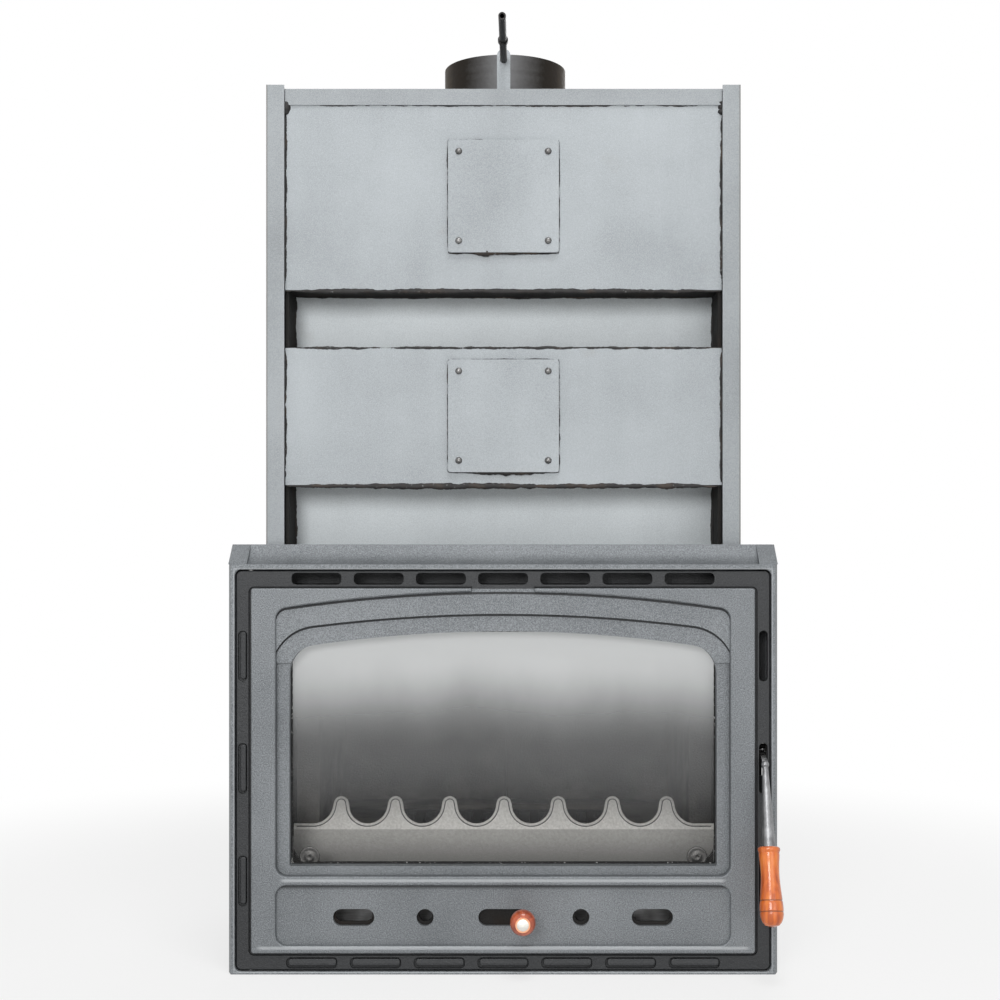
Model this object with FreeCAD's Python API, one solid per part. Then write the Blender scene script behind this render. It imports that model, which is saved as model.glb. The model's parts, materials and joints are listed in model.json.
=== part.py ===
import FreeCAD, Part
import math
import os

V = FreeCAD.Vector

# Fireplace insert, millimetres, +Z up, front facing -Y, origin in the middle of the base.
# A depth is measured backwards from the front plane of the cast surround.

# Overall sizes
front_width = 600.0
front_height = 468.0
overall_depth = 440.0
body_width = 530.0
body_top = 978.0

# Stock and clearances
plate = 4.0
sheet = 2.0
overrun = 1.0
seat_gap = 0.3
turning_clearance = 0.05
press_clearance = 0.01
touching = 1.0e-6

# Cast surround
rim_side = 7.7
rim_bottom = 3.0
rim_top = 5.7
cove_height = 21.5
cove_depth = 30.0
cove_start = 4.0
cove_sag_share = 0.17
ear_width = 20.0
skirt_depth = 40.0
flange_thickness = 4.0
flange_reach = 16.3
rim_corner_r = 7.0
rim_slope = 3.6
rim_slope_depth = 9.0
rim_edge_r = 1.6
flange_notch_half = 34.0
frame_bolt_r = 3.0
frame_bolt_head_r = 5.0
frame_bolt_head = 4.0
frame_bolt_height_shares = (0.12, 0.3, 0.7, 0.88)

# Door casting
door_gap = 1.3
door_face = 2.0
border_thickness = 6.0
door_corner_r = 6.0
door_edge_r = 1.5
side_border = 16.5
top_border = 18.7
bottom_border = 18.6
moat_width = 3.0
moat_top_width = 1.5
moat_depth = 3.8
pocket_depth = 3.4
pad_inset = 1.2
pad_wide_inset = 2.6
pad_corner_r = 2.8
pad_rise = 0.8
pad_edge_r = 1.5
slot_corner_r = 5.0
column_corner_r = 4.6
top_slot_count = 7
top_slot_pitch = 67.8
top_slot_length = 54.5
top_slot_height = 13.0
bottom_pocket_count = 7
bottom_pocket_pitch = 69.5
bottom_pocket_length = 56.0
bottom_pocket_height = 12.0
column_count = 3
column_pitch = 122.6
column_slot_width = 9.5
column_pocket_width = 10.2
column_slot_height = 55.5
column_centre_z = 224.0
column_shift = 2.2

# Raised ring on the door
ring_rise = 4.0
ring_corner_r = 3.0
ring_edge_r = 1.8
ring_side = 27.0
ring_bottom_bead = 8.7
air_panel_height = 65.4
cross_bar = 9.9
panel_corner_r = 12.0
tip_height = 4.2
tip_gap_half = 34.0
ring_arch_r = 1620.0
ring_arch_corner_r = 13.0
groove_width = 2.6
groove_depth = 1.6

# Window
band_overreach = 6.0
band_top_drop = 24.0
band_arch_r = 1650.0
band_corner_r = 52.0
band_depth = 3.0
window_side_inset = 13.8
window_top_drop = 19.2
window_arch_r = 1415.0
window_corner_r = 31.0
window_bottom_rise = 9.5
window_bottom_corner_r = 2.0
window_seat_thickness = 18.0
side_step_depth = 6.0
side_step_height = 232.0
surround_below = 9.0
glass_overlap = 7.8
glass_thickness = 4.0
glass_corner_r = 5.0
glass_rope_thickness = 3.0
glass_rope_width = 8.0
glass_rope_inset = 1.5
clip_width = 18.0
clip_height = 30.0
clip_thickness = 2.0
clip_boss_r = 4.0
clip_boss_clearance = 1.0
clip_screw_r = 2.0
clip_head_r = 4.0
clip_head = 2.6
clip_height_shares = (0.08, 0.92)

# Rope channel on the back of the door
rib_inset = 6.5
rib_wall = 4.0
rope_width = 8.0
rib_bottom_margin = 15.7
rib_top_drop = 2.8
rib_depth = 36.0
rope_channel_depth = 6.0
rib_corner_r = 16.0

# Door hinge
hinge_inset = 15.0
hinge_depth = 9.0
hinge_pin_r = 3.0
hinge_pin_engagement = 11.0
hinge_boss_r = 6.0
hinge_boss_height = 15.0
hinge_pin_seat = 4.8

# Air register
air_face_depth = 1.0
air_hole_height = 18.5
air_hole_drop = 3.0
air_slot_length = 54.0
air_oblong_length = 45.0
air_oblong_inset = 84.5
air_hole_pitch = 78.0
register_thickness = 3.0
register_half_height = 16.0
register_margin = 9.5
register_hole_height = 14.0
register_travel = 43.0
register_hole_rise = 1.5
guide_height = 9.0
guide_lip = 4.0
guide_lip_thickness = 2.4
knob_rod_r = 4.0
knob_r = 13.75
knob_length = 30.0
knob_standoff = 15.0
knob_neck_share = 0.62
knob_edge_share = 0.3
cap_r = 6.5
cap_rim_r = 8.0
cap_thickness = 1.6
cap_dome = 1.8

# Door handle
pivot_depth = 15.0
pivot_rise = 12.0
pivot_pin_r = 3.0
pivot_head_r = 4.6
pivot_head = 1.2
lever_thickness = 6.0
lever_hub_r = 7.0
lever_arm = 8.5
bracket_width = 7.5
bracket_half_height = 9.0
bracket_depth = 14.0
bracket_slot_gap = 0.9
elbow_depth = -9.5
elbow_drop = 6.0
shaft_top_r = 3.0
shaft_bottom_r = 7.2
shaft_drop = 88.0
grip_lean = 17.0
grip_length = 83.0
grip_collar_r = 11.5
grip_waist_r = 10.0
grip_belly_r = 12.5
grip_end_r = 9.0
grip_groove_depth = 0.8
grip_groove_width = 1.8
grip_groove_shares = (0.69, 0.83)
grip_collar_share = 0.1
grip_waist_share = 0.3
catch_pin_r = 3.0
catch_forward = 13.0
catch_rise = 9.0
catch_clearance = 0.5
catch_cheek = 3.0
catch_margin = 2.5
hook_tooth = 4.0
hook_tooth_rise = 2.0

# Firebox
front_plate_margin = 12.0
front_plate_drop = 6.0
side_plate_inset = 20.0
back_gap = 16.0
ash_floor_z = 32.0
ash_opening_clearance = 10.0
hearth_z = 100.0
opening_bar = 20.0
opening_side_margin = 6.0
opening_top = 385.0
opening_corner_r = 20.0
ledge_z = 440.0
neck_recess = 54.0
ash_pan_side_gap = 44.0
ash_pan_back_gap = 78.0
ash_pan_height = 50.0
ash_pan_wall = 1.5
ash_pan_setback = 6.0
ash_pull_half = 45.0
ash_pull_reach = 4.0
grate_front_margin = 7.0
grate_back_margin = 46.0
grate_thickness = 14.0
grate_border = 16.0
grate_slot_count = 11
grate_slot_share = 0.55
grate_support = 14.0
retainer_depth = 88.0
retainer_thickness = 10.0
retainer_peak_z = 177.0
retainer_valley_z = 147.5
retainer_fold_z = 141.0
retainer_peaks = 7
retainer_end_flat = 22.25
retainer_peak_r = 8.5
retainer_flank_share = 0.982
retainer_tilt = 20.0
brick = 26.0
brick_top_z = 402.0
brick_joint = 1.0
brick_front_gap = 20.0
floor_brick = 20.0
floor_brick_width = 63.0
baffle_thickness = 25.0
baffle_throat = 110.0

# Upper front
panel_depth = 50.0
lower_panel_bottom = 534.5
lower_panel_top = 688.0
upper_panel_bottom = 753.0
upper_panel_top = 961.0
hatch_width = 124.0
hatch_height = 126.0
hatch_corner_r = 3.0
hatch_thickness = 3.0
hatch_opening = 80.0
hatch_bolt_pitch = 100.0
hatch_bolt_r = 2.5
hatch_head_r = 3.9
hatch_head = 3.2
hatch_rise = 0.5
gasket = 2.0
gasket_inset = 3.0

# Jacket
jacket_flange = 20.0
jacket_lip = 3.5
top_lip = 18.0

# Flue outlet and damper
flue_r = 75.0
flue_wall = 3.0
flue_swage = 0.7
flue_depth = 250.0
flue_top = 1055.0
axle_z = 1016.0
axle_r = 4.0
axle_bore_r = 2.5
axle_bore_length = 25.0
axle_reach = 85.0
axle_tail = 7.0
axle_bump_r = 5.5
axle_bump_width = 6.0
axle_bump_share = 0.52
spigot_margin = 2.0
disc_gap = 1.5
disc_thickness = 3.0
disc_cut_r = 16.0
disc_cut_share = 0.62
damper_screw_r = 1.8
damper_screw_head_r = 3.4
damper_screw_head = 2.0
damper_screw_share = 0.5
bracket_strip = 15.0
bracket_strip_thickness = 3.0
bracket_strip_depth = 66.0
bracket_strip_top = 1028.5
bracket_foot = 20.0
bracket_screw_r = 2.0
bracket_screw_head_r = 3.8
bracket_screw_head = 2.2

# Derived places of the front
front_y = -overall_depth / 2
front_half = front_width / 2
body_half = body_width / 2
open_half = front_half - rim_side
open_bottom = rim_bottom
rim_head = front_height - cove_height
open_top = rim_head - rim_top
door_half = open_half - door_gap
door_bottom = open_bottom + door_gap
door_top = open_top - door_gap
door_back = door_face + border_thickness
ring_half = door_half - side_border
ring_bottom = door_bottom + bottom_border
ring_top = door_top - top_border
ring_face = door_face - ring_rise
panel_half = ring_half - ring_side
air_bottom = ring_bottom + ring_bottom_bead
air_top = air_bottom + air_panel_height
air_z = (air_bottom + air_top) / 2
air_hole_z = air_z - air_hole_drop
panel_bottom = air_top + cross_bar
ring_apex = ring_top - tip_height
band_half = panel_half + band_overreach
band_apex = ring_apex - band_top_drop
window_half = panel_half - window_side_inset
window_apex = band_apex - window_top_drop
window_bottom = panel_bottom + window_bottom_rise
seat_depth = door_face + window_seat_thickness
rib_half = ring_half - rib_inset
rib_bottom = door_bottom + rib_bottom_margin
rib_top = ring_top - rib_top_drop
rib_width = 2 * rib_wall + rope_width
surround_bottom = panel_bottom - surround_below
column_x = (door_half + ring_half + column_shift) / 2
top_row_z = (door_top + ring_top + moat_top_width) / 2
bottom_row_z = (door_bottom + ring_bottom - moat_width) / 2
hinge_x = -door_half + hinge_inset
glass_half = window_half + glass_overlap
glass_bottom = window_bottom - glass_overlap
glass_top = window_apex + glass_overlap
glass_depth = seat_depth + glass_rope_thickness
glass_back = glass_depth + glass_thickness
clip_x = glass_half + clip_boss_clearance + clip_boss_r
air_face = door_face + air_face_depth
air_oblong_x = panel_half - air_oblong_inset
air_round_x = air_oblong_x - air_hole_pitch
register_depth = door_back + seat_gap
register_back = register_depth + register_thickness
knob_x = register_travel / 2
knob_back = air_face - knob_standoff
knob_front = knob_back - knob_length
pivot_z = column_centre_z + pivot_rise
lever_x0 = column_x - lever_thickness / 2
lever_x1 = column_x + lever_thickness / 2
catch_depth = pivot_depth + catch_forward
catch_z = pivot_z + catch_rise

# Derived places of the body
plate_front = skirt_depth
plate_back = skirt_depth + plate
front_plate_half = front_half - front_plate_margin
front_plate_top = front_height - front_plate_drop
jacket_in = body_half - sheet
back_in = overall_depth - sheet
side_out = body_half - side_plate_inset
side_in = side_out - plate
firebox_back = overall_depth - sheet - back_gap - plate
opening_half = side_in - opening_side_margin
ash_pan_half = side_in - ash_pan_side_gap
ash_opening_half = ash_pan_half + ash_opening_clearance
grate_half = side_in - brick - 2 * brick_joint - floor_brick_width
retainer_pitch = 2 * (side_in - retainer_end_flat) / retainer_peaks
panel_back = panel_depth + plate
panel_plate_half = body_half - jacket_flange - seat_gap
neck_depth = panel_depth + neck_recess
neck_back = neck_depth + plate
cover_bottom = body_top - sheet
ash_floor_top = ash_floor_z + plate
hearth_top = hearth_z + plate
ash_opening_top = hearth_top - opening_bar / 2
fire_opening_bottom = ash_opening_top + opening_bar
spigot_bottom = axle_z + axle_r + spigot_margin
disc_r = flue_r - flue_wall - disc_gap
disc_top = axle_z - axle_r
jacket_top = body_top + jacket_lip
bracket_screw_depth = bracket_strip_depth + bracket_strip_thickness + bracket_foot / 2


def block(x0, x1, d0, d1, z0, z1):
    """Box between two depths behind the front plane."""
    return Part.makeBox(x1 - x0, d1 - d0, z1 - z0, V(x0, front_y + d0, z0))


def rod_x(x0, x1, depth, z, r):
    """Cylinder along X."""
    return Part.makeCylinder(r, x1 - x0, V(x0, front_y + depth, z), V(1, 0, 0))


def rod_y(x, z, r, d0, d1):
    """Cylinder along Y between two depths."""
    return Part.makeCylinder(r, d1 - d0, V(x, front_y + d0, z), V(0, 1, 0))


def rod_z(x, depth, z0, z1, r):
    """Upright cylinder."""
    return Part.makeCylinder(r, z1 - z0, V(x, front_y + depth, z0), V(0, 0, 1))


def fused(shapes):
    """One solid of several that touch or cross."""
    return shapes[0].multiFuse(shapes[1:]).removeSplitter()


def group(shapes):
    """Separate solids kept together."""
    return Part.makeCompound(shapes)


def polar(x, z, r, degrees, depth):
    """Point on a circle that faces the front."""
    angle = math.radians(degrees)
    return V(x + r * math.cos(angle), front_y + depth, z + r * math.sin(angle))


def corner_arc(x, z, r, start, depth):
    """Three points of a quarter circle, anticlockwise from the start angle."""
    return [polar(x, z, r, start + turn, depth) for turn in (0, 45, 90)]


def closed_chain(arcs):
    """Closed wire through three-point arcs joined by straight runs."""
    edges = []
    for index, (start, middle, end) in enumerate(arcs):
        edges.append(Part.Arc(start, middle, end).toShape())
        following = arcs[(index + 1) % len(arcs)][0]
        if end.distanceToPoint(following) > touching:
            edges.append(Part.makeLine(end, following))
    return Part.Wire(edges)


def rounded_outline(x0, x1, z0, z1, r, depth):
    """Rectangle with round corners."""
    arcs = [
        corner_arc(x1 - r, z0 + r, r, -90, depth),
        corner_arc(x1 - r, z1 - r, r, 0, depth),
        corner_arc(x0 + r, z1 - r, r, 90, depth),
        corner_arc(x0 + r, z0 + r, r, 180, depth),
    ]
    return closed_chain(arcs)


def prism(wire, length):
    """Wire filled and carried backwards."""
    return Part.Face(wire).extrude(V(0, length, 0))


def rounded_block(x0, x1, d0, d1, z0, z1, r):
    """Box whose edges along Y are round."""
    return prism(rounded_outline(x0, x1, z0, z1, r, d0), d1 - d0)


def oblong(x, z, length, height, d0, d1):
    """Slot with round ends lying along X."""
    half = length / 2
    r = height / 2
    if half - r < touching:
        return rod_y(x, z, r, d0, d1)
    arcs = [
        [polar(x + half - r, z, r, turn, d0) for turn in (-90, 0, 90)],
        [polar(x - half + r, z, r, turn, d0) for turn in (90, 180, 270)],
    ]
    return prism(closed_chain(arcs), d1 - d0)


def arch_outline(half, bottom, apex, arch_r, corner_r, bottom_r, depth):
    """Opening with a flat arched top: the corner arcs are tangent to the sides and to the arch."""
    centre_z = apex - arch_r
    rise = math.sqrt((arch_r - corner_r) ** 2 - (half - corner_r) ** 2)
    tangent = math.degrees(math.atan2(rise, half - corner_r))
    corner_x = half - corner_r
    corner_z = centre_z + rise
    right = [polar(corner_x, corner_z, corner_r, tangent * share, depth) for share in (0, 0.5, 1)]
    top = [polar(0, centre_z, arch_r, turn, depth) for turn in (tangent, 90, 180 - tangent)]
    left = [polar(-corner_x, corner_z, corner_r, 180 - tangent * share, depth) for share in (1, 0.5, 0)]
    arcs = [
        corner_arc(half - bottom_r, bottom + bottom_r, bottom_r, -90, depth),
        right,
        top,
        left,
        corner_arc(-half + bottom_r, bottom + bottom_r, bottom_r, 180, depth),
    ]
    return closed_chain(arcs)


def profile_along_x(points, x0, x1):
    """Outline of (depth, height) points filled and carried along X."""
    corners = [V(x0, front_y + depth, z) for depth, z in points]
    return Part.Face(Part.makePolygon(corners + corners[:1])).extrude(V(x1 - x0, 0, 0))


def turned(points, base, direction):
    """Body of revolution of (distance, radius) points about a line from the base."""
    corners = [V(r, 0, distance) for distance, r in points]
    face = Part.Face(Part.makePolygon(corners + corners[:1]))
    solid = face.revolve(V(0, 0, 0), V(0, 0, 1), 360)
    solid.Placement = FreeCAD.Placement(base, FreeCAD.Rotation(V(0, 0, 1), direction))
    return solid


def spread(count, pitch):
    """Places of a row that is centred on zero."""
    return [(index - (count - 1) / 2) * pitch for index in range(count)]


def edges_at_depth(shape, depth):
    """Edges that lie wholly at one depth."""
    y = front_y + depth
    near = 10 * touching
    found = []
    for edge in shape.Edges:
        box = edge.BoundBox
        if abs(box.YMin - y) < near and abs(box.YMax - y) < near:
            found.append(edge)
    return found


def dome(x, z, r, height, depth):
    """Round bolt head that stands forward of a face."""
    ball_r = (r * r + height * height) / (2 * height)
    half_turn = math.asin(r / ball_r) / 2
    y = front_y + depth
    centre = V(x, y, z)
    rim = V(x + r, y, z)
    apex = V(x, y - height, z)
    middle = V(x + ball_r * math.sin(half_turn), y - height + ball_r * (1 - math.cos(half_turn)), z)
    edges = [
        Part.makeLine(centre, rim),
        Part.Arc(rim, middle, apex).toShape(),
        Part.makeLine(apex, centre),
    ]
    return Part.Face(Part.Wire(edges)).revolve(centre, V(0, -1, 0), 360)


def bolt(x, z, r, head_r, head, depth, end):
    """Dome-headed bolt seated on a face."""
    return fused([dome(x, z, head_r, head, depth), rod_y(x, z, r, depth - touching, end)])


def frame_bolt_places():
    """Bolt places down both sides of the surround flange."""
    x = open_half - flange_reach / 2
    heights = [open_bottom + share * (open_top - open_bottom) for share in frame_bolt_height_shares]
    return [(side * x, z) for side in (-1, 1) for z in heights]


def surround_frame():
    """Cast surround: rim, cove head with two ears, skirt and back flange."""
    y_low = V(-front_half + ear_width, front_y + cove_start, rim_head)
    y_high = V(-front_half + ear_width, front_y + cove_depth, front_height)
    chord = y_high - y_low
    inward = V(0, chord.z, -chord.y) * cove_sag_share
    middle = (y_low + y_high) / 2 + inward
    back_high = V(y_low.x, front_y + skirt_depth, front_height)
    back_low = V(y_low.x, front_y + skirt_depth, rim_head)
    edges = [
        Part.Arc(y_low, middle, y_high).toShape(),
        Part.makeLine(y_high, back_high),
        Part.makeLine(back_high, back_low),
        Part.makeLine(back_low, y_low),
    ]
    cove = Part.Face(Part.Wire(edges)).extrude(V(2 * (front_half - ear_width), 0, 0))
    ear = [
        (cove_start, rim_head),
        (cove_depth, front_height),
        (skirt_depth, front_height),
        (skirt_depth, rim_head),
    ]
    left_ear = profile_along_x(ear, -front_half, -front_half + ear_width)
    right_ear = profile_along_x(ear, front_half - ear_width, front_half)
    rim = block(-front_half, front_half, 0, skirt_depth, 0, rim_head)
    opening = rounded_block(-open_half, open_half, -overrun, skirt_depth - flange_thickness,
                            open_bottom, open_top, rim_corner_r)
    throat_half = open_half - flange_reach
    throat = rounded_block(-throat_half, throat_half, skirt_depth - flange_thickness - overrun,
                           skirt_depth + overrun, open_bottom + flange_reach, open_top - flange_reach,
                           rim_corner_r)
    notch = block(throat_half - overrun, open_half, skirt_depth - flange_thickness - overrun,
                  skirt_depth + overrun, catch_z - flange_notch_half, catch_z + flange_notch_half)
    frame = fused([rim, cove, left_ear, right_ear]).cut(opening)
    lip = []
    for edge in edges_at_depth(frame, 0):
        box = edge.BoundBox
        inside_x = box.XMax < open_half + rim_edge_r and box.XMin > -open_half - rim_edge_r
        if inside_x and box.ZMin > open_bottom - rim_edge_r and box.ZMax < open_top + rim_edge_r:
            lip.append(edge)
    frame = frame.makeFillet(rim_edge_r, lip)
    cuts = [throat, notch]
    for side in (-1, 1):
        corners = [
            V(side * (front_half - rim_slope), front_y, 0),
            V(side * front_half, front_y + rim_slope_depth, 0),
            V(side * (front_half + overrun), front_y, 0),
        ]
        slope = Part.Face(Part.makePolygon(corners + corners[:1]))
        cuts.append(slope.extrude(V(0, 0, rim_head)))
    hole_r = hinge_pin_r + press_clearance
    cuts.append(rod_z(hinge_x, hinge_depth, -overrun, open_bottom + overrun, hole_r))
    cuts.append(rod_z(hinge_x, hinge_depth, open_top - overrun, open_top + hinge_pin_seat, hole_r))
    for x, z in frame_bolt_places():
        cuts.append(rod_y(x, z, frame_bolt_r, skirt_depth - flange_thickness - overrun,
                          skirt_depth + overrun))
    return frame.cut(cuts)


def frame_bolts():
    """Bolts that hold the surround to the firebox front plate."""
    seat = skirt_depth - flange_thickness
    solids = []
    for x, z in frame_bolt_places():
        solids.append(bolt(x, z, frame_bolt_r, frame_bolt_head_r, frame_bolt_head, seat, plate_back))
    return group(solids)


def hinge_pins():
    """Two upright pins that carry the door."""
    low = rod_z(hinge_x, hinge_depth, 0, door_bottom + hinge_pin_engagement, hinge_pin_r)
    high = rod_z(hinge_x, hinge_depth, door_top - hinge_pin_engagement, open_top + hinge_pin_seat,
                 hinge_pin_r)
    return group([low, high])


def latch_catch():
    """Cheek on the front plate with the pin that the handle hook pulls against."""
    x0 = lever_x1 + catch_clearance + pivot_head + catch_clearance
    x1 = x0 + catch_cheek
    reach = catch_pin_r + catch_margin
    cheek = block(x0, x1, catch_depth - reach, plate_front, catch_z - reach, catch_z + reach)
    pin = rod_x(lever_x0, x0 + touching, catch_depth, catch_z, catch_pin_r)
    return fused([cheek, pin])


def door_slots():
    """Open slots in the top border and the right border."""
    d0 = door_face - overrun
    d1 = door_back + overrun
    solids = []
    for x in spread(top_slot_count, top_slot_pitch):
        half = top_slot_length / 2
        z0 = top_row_z - top_slot_height / 2
        solids.append(rounded_block(x - half, x + half, d0, d1, z0, z0 + top_slot_height, slot_corner_r))
    for offset in spread(column_count, column_pitch):
        solids.append(column_slot(column_x, column_centre_z + offset, d0, d1))
    return solids


def column_slot(x, z, d0, d1):
    """Upright slot of the side borders."""
    half = column_slot_width / 2
    rise = column_slot_height / 2
    return rounded_block(x - half, x + half, d0, d1, z - rise, z + rise, column_corner_r)


def pocket_places():
    """Middle, half width and half height of each blind pocket in the bottom border and the left border."""
    places = []
    for x in spread(bottom_pocket_count, bottom_pocket_pitch):
        places.append((x, bottom_row_z, bottom_pocket_length / 2, bottom_pocket_height / 2))
    for offset in spread(column_count, column_pitch):
        places.append((-column_x, column_centre_z + offset, column_pocket_width / 2, column_slot_height / 2))
    return places


def door_pockets():
    """Shallow blind pockets that answer the open slots."""
    d0 = door_face - overrun
    d1 = door_face + pocket_depth
    solids = []
    for x, z, half, rise in pocket_places():
        solids.append(rounded_block(x - half, x + half, d0, d1, z - rise, z + rise, slot_corner_r))
    return solids


def door_pads():
    """Raised pads that fill the blind pockets but for a groove round each, wider to the left and below."""
    d0 = door_face - pad_rise
    d1 = door_face + pocket_depth + overrun
    solids = []
    for x, z, half, rise in pocket_places():
        x0 = x - half + pad_wide_inset
        z0 = z - rise + pad_wide_inset
        pad = rounded_block(x0, x + half - pad_inset, d0, d1, z0, z + rise - pad_inset, pad_corner_r)
        solids.append(pad.makeFillet(pad_edge_r, edges_at_depth(pad, d0)))
    return solids


def raised_ring():
    """Raised ring on the door face, open at the top between two tapered tips."""
    depth = ring_rise + overrun
    ring = rounded_block(-ring_half, ring_half, ring_face, ring_face + depth, ring_bottom, ring_top,
                         ring_corner_r)
    arch = arch_outline(panel_half, panel_bottom, ring_apex, ring_arch_r, ring_arch_corner_r,
                        panel_corner_r, ring_face - overrun)
    air = rounded_block(-panel_half, panel_half, ring_face - overrun, ring_face + depth + overrun,
                        air_bottom, air_top, panel_corner_r)
    tips = block(-tip_gap_half, tip_gap_half, ring_face - overrun, ring_face + depth + overrun,
                 ring_apex - tip_height, ring_top + overrun)
    ring = ring.cut([prism(arch, depth + 2 * overrun), air, tips])
    return ring.makeFillet(ring_edge_r, edges_at_depth(ring, ring_face))


def moat():
    """Groove round the raised ring, left out between the tips."""
    d0 = door_face - overrun
    d1 = door_face + moat_depth
    outer = rounded_block(-ring_half - moat_width, ring_half + moat_width, d0, d1, ring_bottom - moat_width,
                          ring_top + moat_top_width, ring_corner_r + moat_width)
    inner = rounded_block(-ring_half, ring_half, d0 - overrun, d1 + overrun, ring_bottom, ring_top,
                          ring_corner_r)
    tips = block(-tip_gap_half, tip_gap_half, d0 - overrun, d1 + overrun, ring_apex,
                 ring_top + bottom_border)
    return outer.cut([inner, tips])


def arch_groove(half, bottom, apex, r, corner_r, foot_r, d1):
    """Groove along the underside of an arch, which runs out at both ends."""
    d0 = door_face - overrun
    outer = prism(arch_outline(half, bottom, apex, r, corner_r, foot_r, d0), d1 - d0)
    inner = arch_outline(half, bottom - overrun, apex - groove_width, r, corner_r, foot_r, d0 - overrun)
    return outer.cut(prism(inner, d1 - d0 + 2 * overrun))


def window_cut():
    """Window opening, the recessed band over it and the flat strips beside and below it."""
    d0 = door_face - overrun
    d1 = door_face + side_step_depth
    step_bottom = panel_bottom + panel_corner_r
    step_top = panel_bottom + side_step_height
    band = (band_half, panel_bottom, band_apex, band_arch_r, band_corner_r, window_bottom_corner_r)
    window = (window_half, window_bottom, window_apex, window_arch_r, window_corner_r,
              window_bottom_corner_r)
    panel = block(-panel_half, panel_half, d0, seat_depth, step_bottom, ring_apex)
    recess = prism(arch_outline(*band, d0), band_depth + overrun).common(panel)
    line = arch_groove(*band, door_face + band_depth + groove_depth).common(panel)
    through = prism(arch_outline(*window, d0), seat_depth + overrun - d0)
    strips = rounded_block(-panel_half, panel_half, d0, d1, panel_bottom, step_top, panel_corner_r)
    shoulders = block(-panel_half, panel_half, d0, d1, step_bottom, step_top)
    ring_line = arch_groove(panel_half, panel_bottom, ring_apex, ring_arch_r, ring_arch_corner_r,
                            panel_corner_r, door_face + groove_depth)
    return [recess, line, through, strips, shoulders, ring_line]


def rope_rib():
    """Rib on the back of the door with the channel for the door rope."""
    outer = rounded_block(-rib_half, rib_half, door_back, rib_depth, rib_bottom, rib_top, rib_corner_r)
    inner = rounded_block(-rib_half + rib_width, rib_half - rib_width, door_back - overrun,
                          rib_depth + overrun, rib_bottom + rib_width, rib_top - rib_width, rib_wall)
    return outer.cut([inner, rope_ring(rib_depth - rope_channel_depth, rib_depth + overrun)])


def rope_ring(d0, d1, clearance=0):
    """Ring of the rope channel, narrowed on both sides by the clearance."""
    out = rib_wall + clearance
    inn = rib_wall + rope_width - clearance
    outer = rounded_block(-rib_half + out, rib_half - out, d0, d1, rib_bottom + out, rib_top - out,
                          rib_corner_r - out)
    inner = rounded_block(-rib_half + inn, rib_half - inn, d0 - overrun, d1 + overrun, rib_bottom + inn,
                          rib_top - inn, rib_corner_r - inn)
    return outer.cut(inner)


def clip_places():
    """Places of the glass clips down both sides of the window."""
    heights = [glass_bottom + share * (glass_top - glass_bottom) for share in clip_height_shares]
    return [(side * clip_x, z) for side in (-1, 1) for z in heights]


def air_holes(height, rise, d0, d1):
    """Oblong and round air holes of the lower door panel."""
    z = air_hole_z + rise
    solids = []
    for side in (-1, 1):
        length = air_oblong_length - air_hole_height + height
        solids.append(oblong(side * air_oblong_x, z, length, height, d0, d1))
        solids.append(rod_y(side * air_round_x, z, height / 2, d0, d1))
    return solids


def door_casting():
    """Door casting: border, raised ring, window surround, rope rib, air panel and hinge bosses."""
    border = rounded_block(-door_half, door_half, door_face, door_back, door_bottom, door_top, door_corner_r)
    border = border.makeFillet(door_edge_r, edges_at_depth(border, door_face))
    rib_in = rib_half - rib_wall
    surround = block(-rib_in, rib_in, door_back, seat_depth, surround_bottom, rib_top - rib_wall)
    bosses = [
        rod_z(hinge_x, hinge_depth, door_bottom, door_bottom + hinge_boss_height, hinge_boss_r),
        rod_z(hinge_x, hinge_depth, door_top - hinge_boss_height, door_top, hinge_boss_r),
    ]
    for x, z in clip_places():
        bosses.append(rod_y(x, z, clip_boss_r, seat_depth - overrun, glass_back))
    casting = fused([border, surround, rope_rib()] + bosses)
    bore_r = hinge_pin_r + turning_clearance
    bore = hinge_pin_engagement + overrun
    cuts = door_slots() + door_pockets() + window_cut() + [moat()]
    cuts.append(rod_z(hinge_x, hinge_depth, door_bottom - overrun, door_bottom + bore, bore_r))
    cuts.append(rod_z(hinge_x, hinge_depth, door_top - bore, door_top + overrun, bore_r))
    cuts.append(rounded_block(-panel_half, panel_half, door_face - overrun, air_face, air_bottom, air_top,
                              panel_corner_r))
    cuts.extend(air_holes(air_hole_height, 0, door_face - overrun, door_back + overrun))
    cuts.append(oblong(0, air_hole_z, air_slot_length, air_hole_height, door_face - overrun,
                       door_back + overrun))
    for x, z in clip_places():
        cuts.append(rod_y(x, z, clip_screw_r + press_clearance, seat_depth, glass_back + overrun))
    return fused([casting.cut(cuts), raised_ring()] + door_pads())


def glass():
    """Flat pane behind the window."""
    return rounded_block(-glass_half, glass_half, glass_depth, glass_back, glass_bottom, glass_top,
                         glass_corner_r)


def glass_rope():
    """Flat rope between the pane and its seat."""
    out = glass_rope_inset
    inn = glass_rope_inset + glass_rope_width
    outer = rounded_block(-glass_half + out, glass_half - out, seat_depth, glass_depth, glass_bottom + out,
                          glass_top - out, glass_corner_r)
    inner = rounded_block(-glass_half + inn, glass_half - inn, seat_depth - overrun, glass_depth + overrun,
                          glass_bottom + inn, glass_top - inn, glass_corner_r)
    return outer.cut(inner)


def glass_clips():
    """Clips that press the pane on its rope."""
    solids = []
    for x, z in clip_places():
        side = math.copysign(1, x)
        outer = x + side * clip_boss_r
        inner = outer - side * clip_width
        clip = block(min(outer, inner), max(outer, inner), glass_back, glass_back + clip_thickness,
                     z - clip_height / 2, z + clip_height / 2)
        hole = rod_y(x, z, clip_screw_r + press_clearance, glass_back - overrun,
                     glass_back + clip_thickness + overrun)
        solids.append(clip.cut(hole))
    return group(solids)


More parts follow.
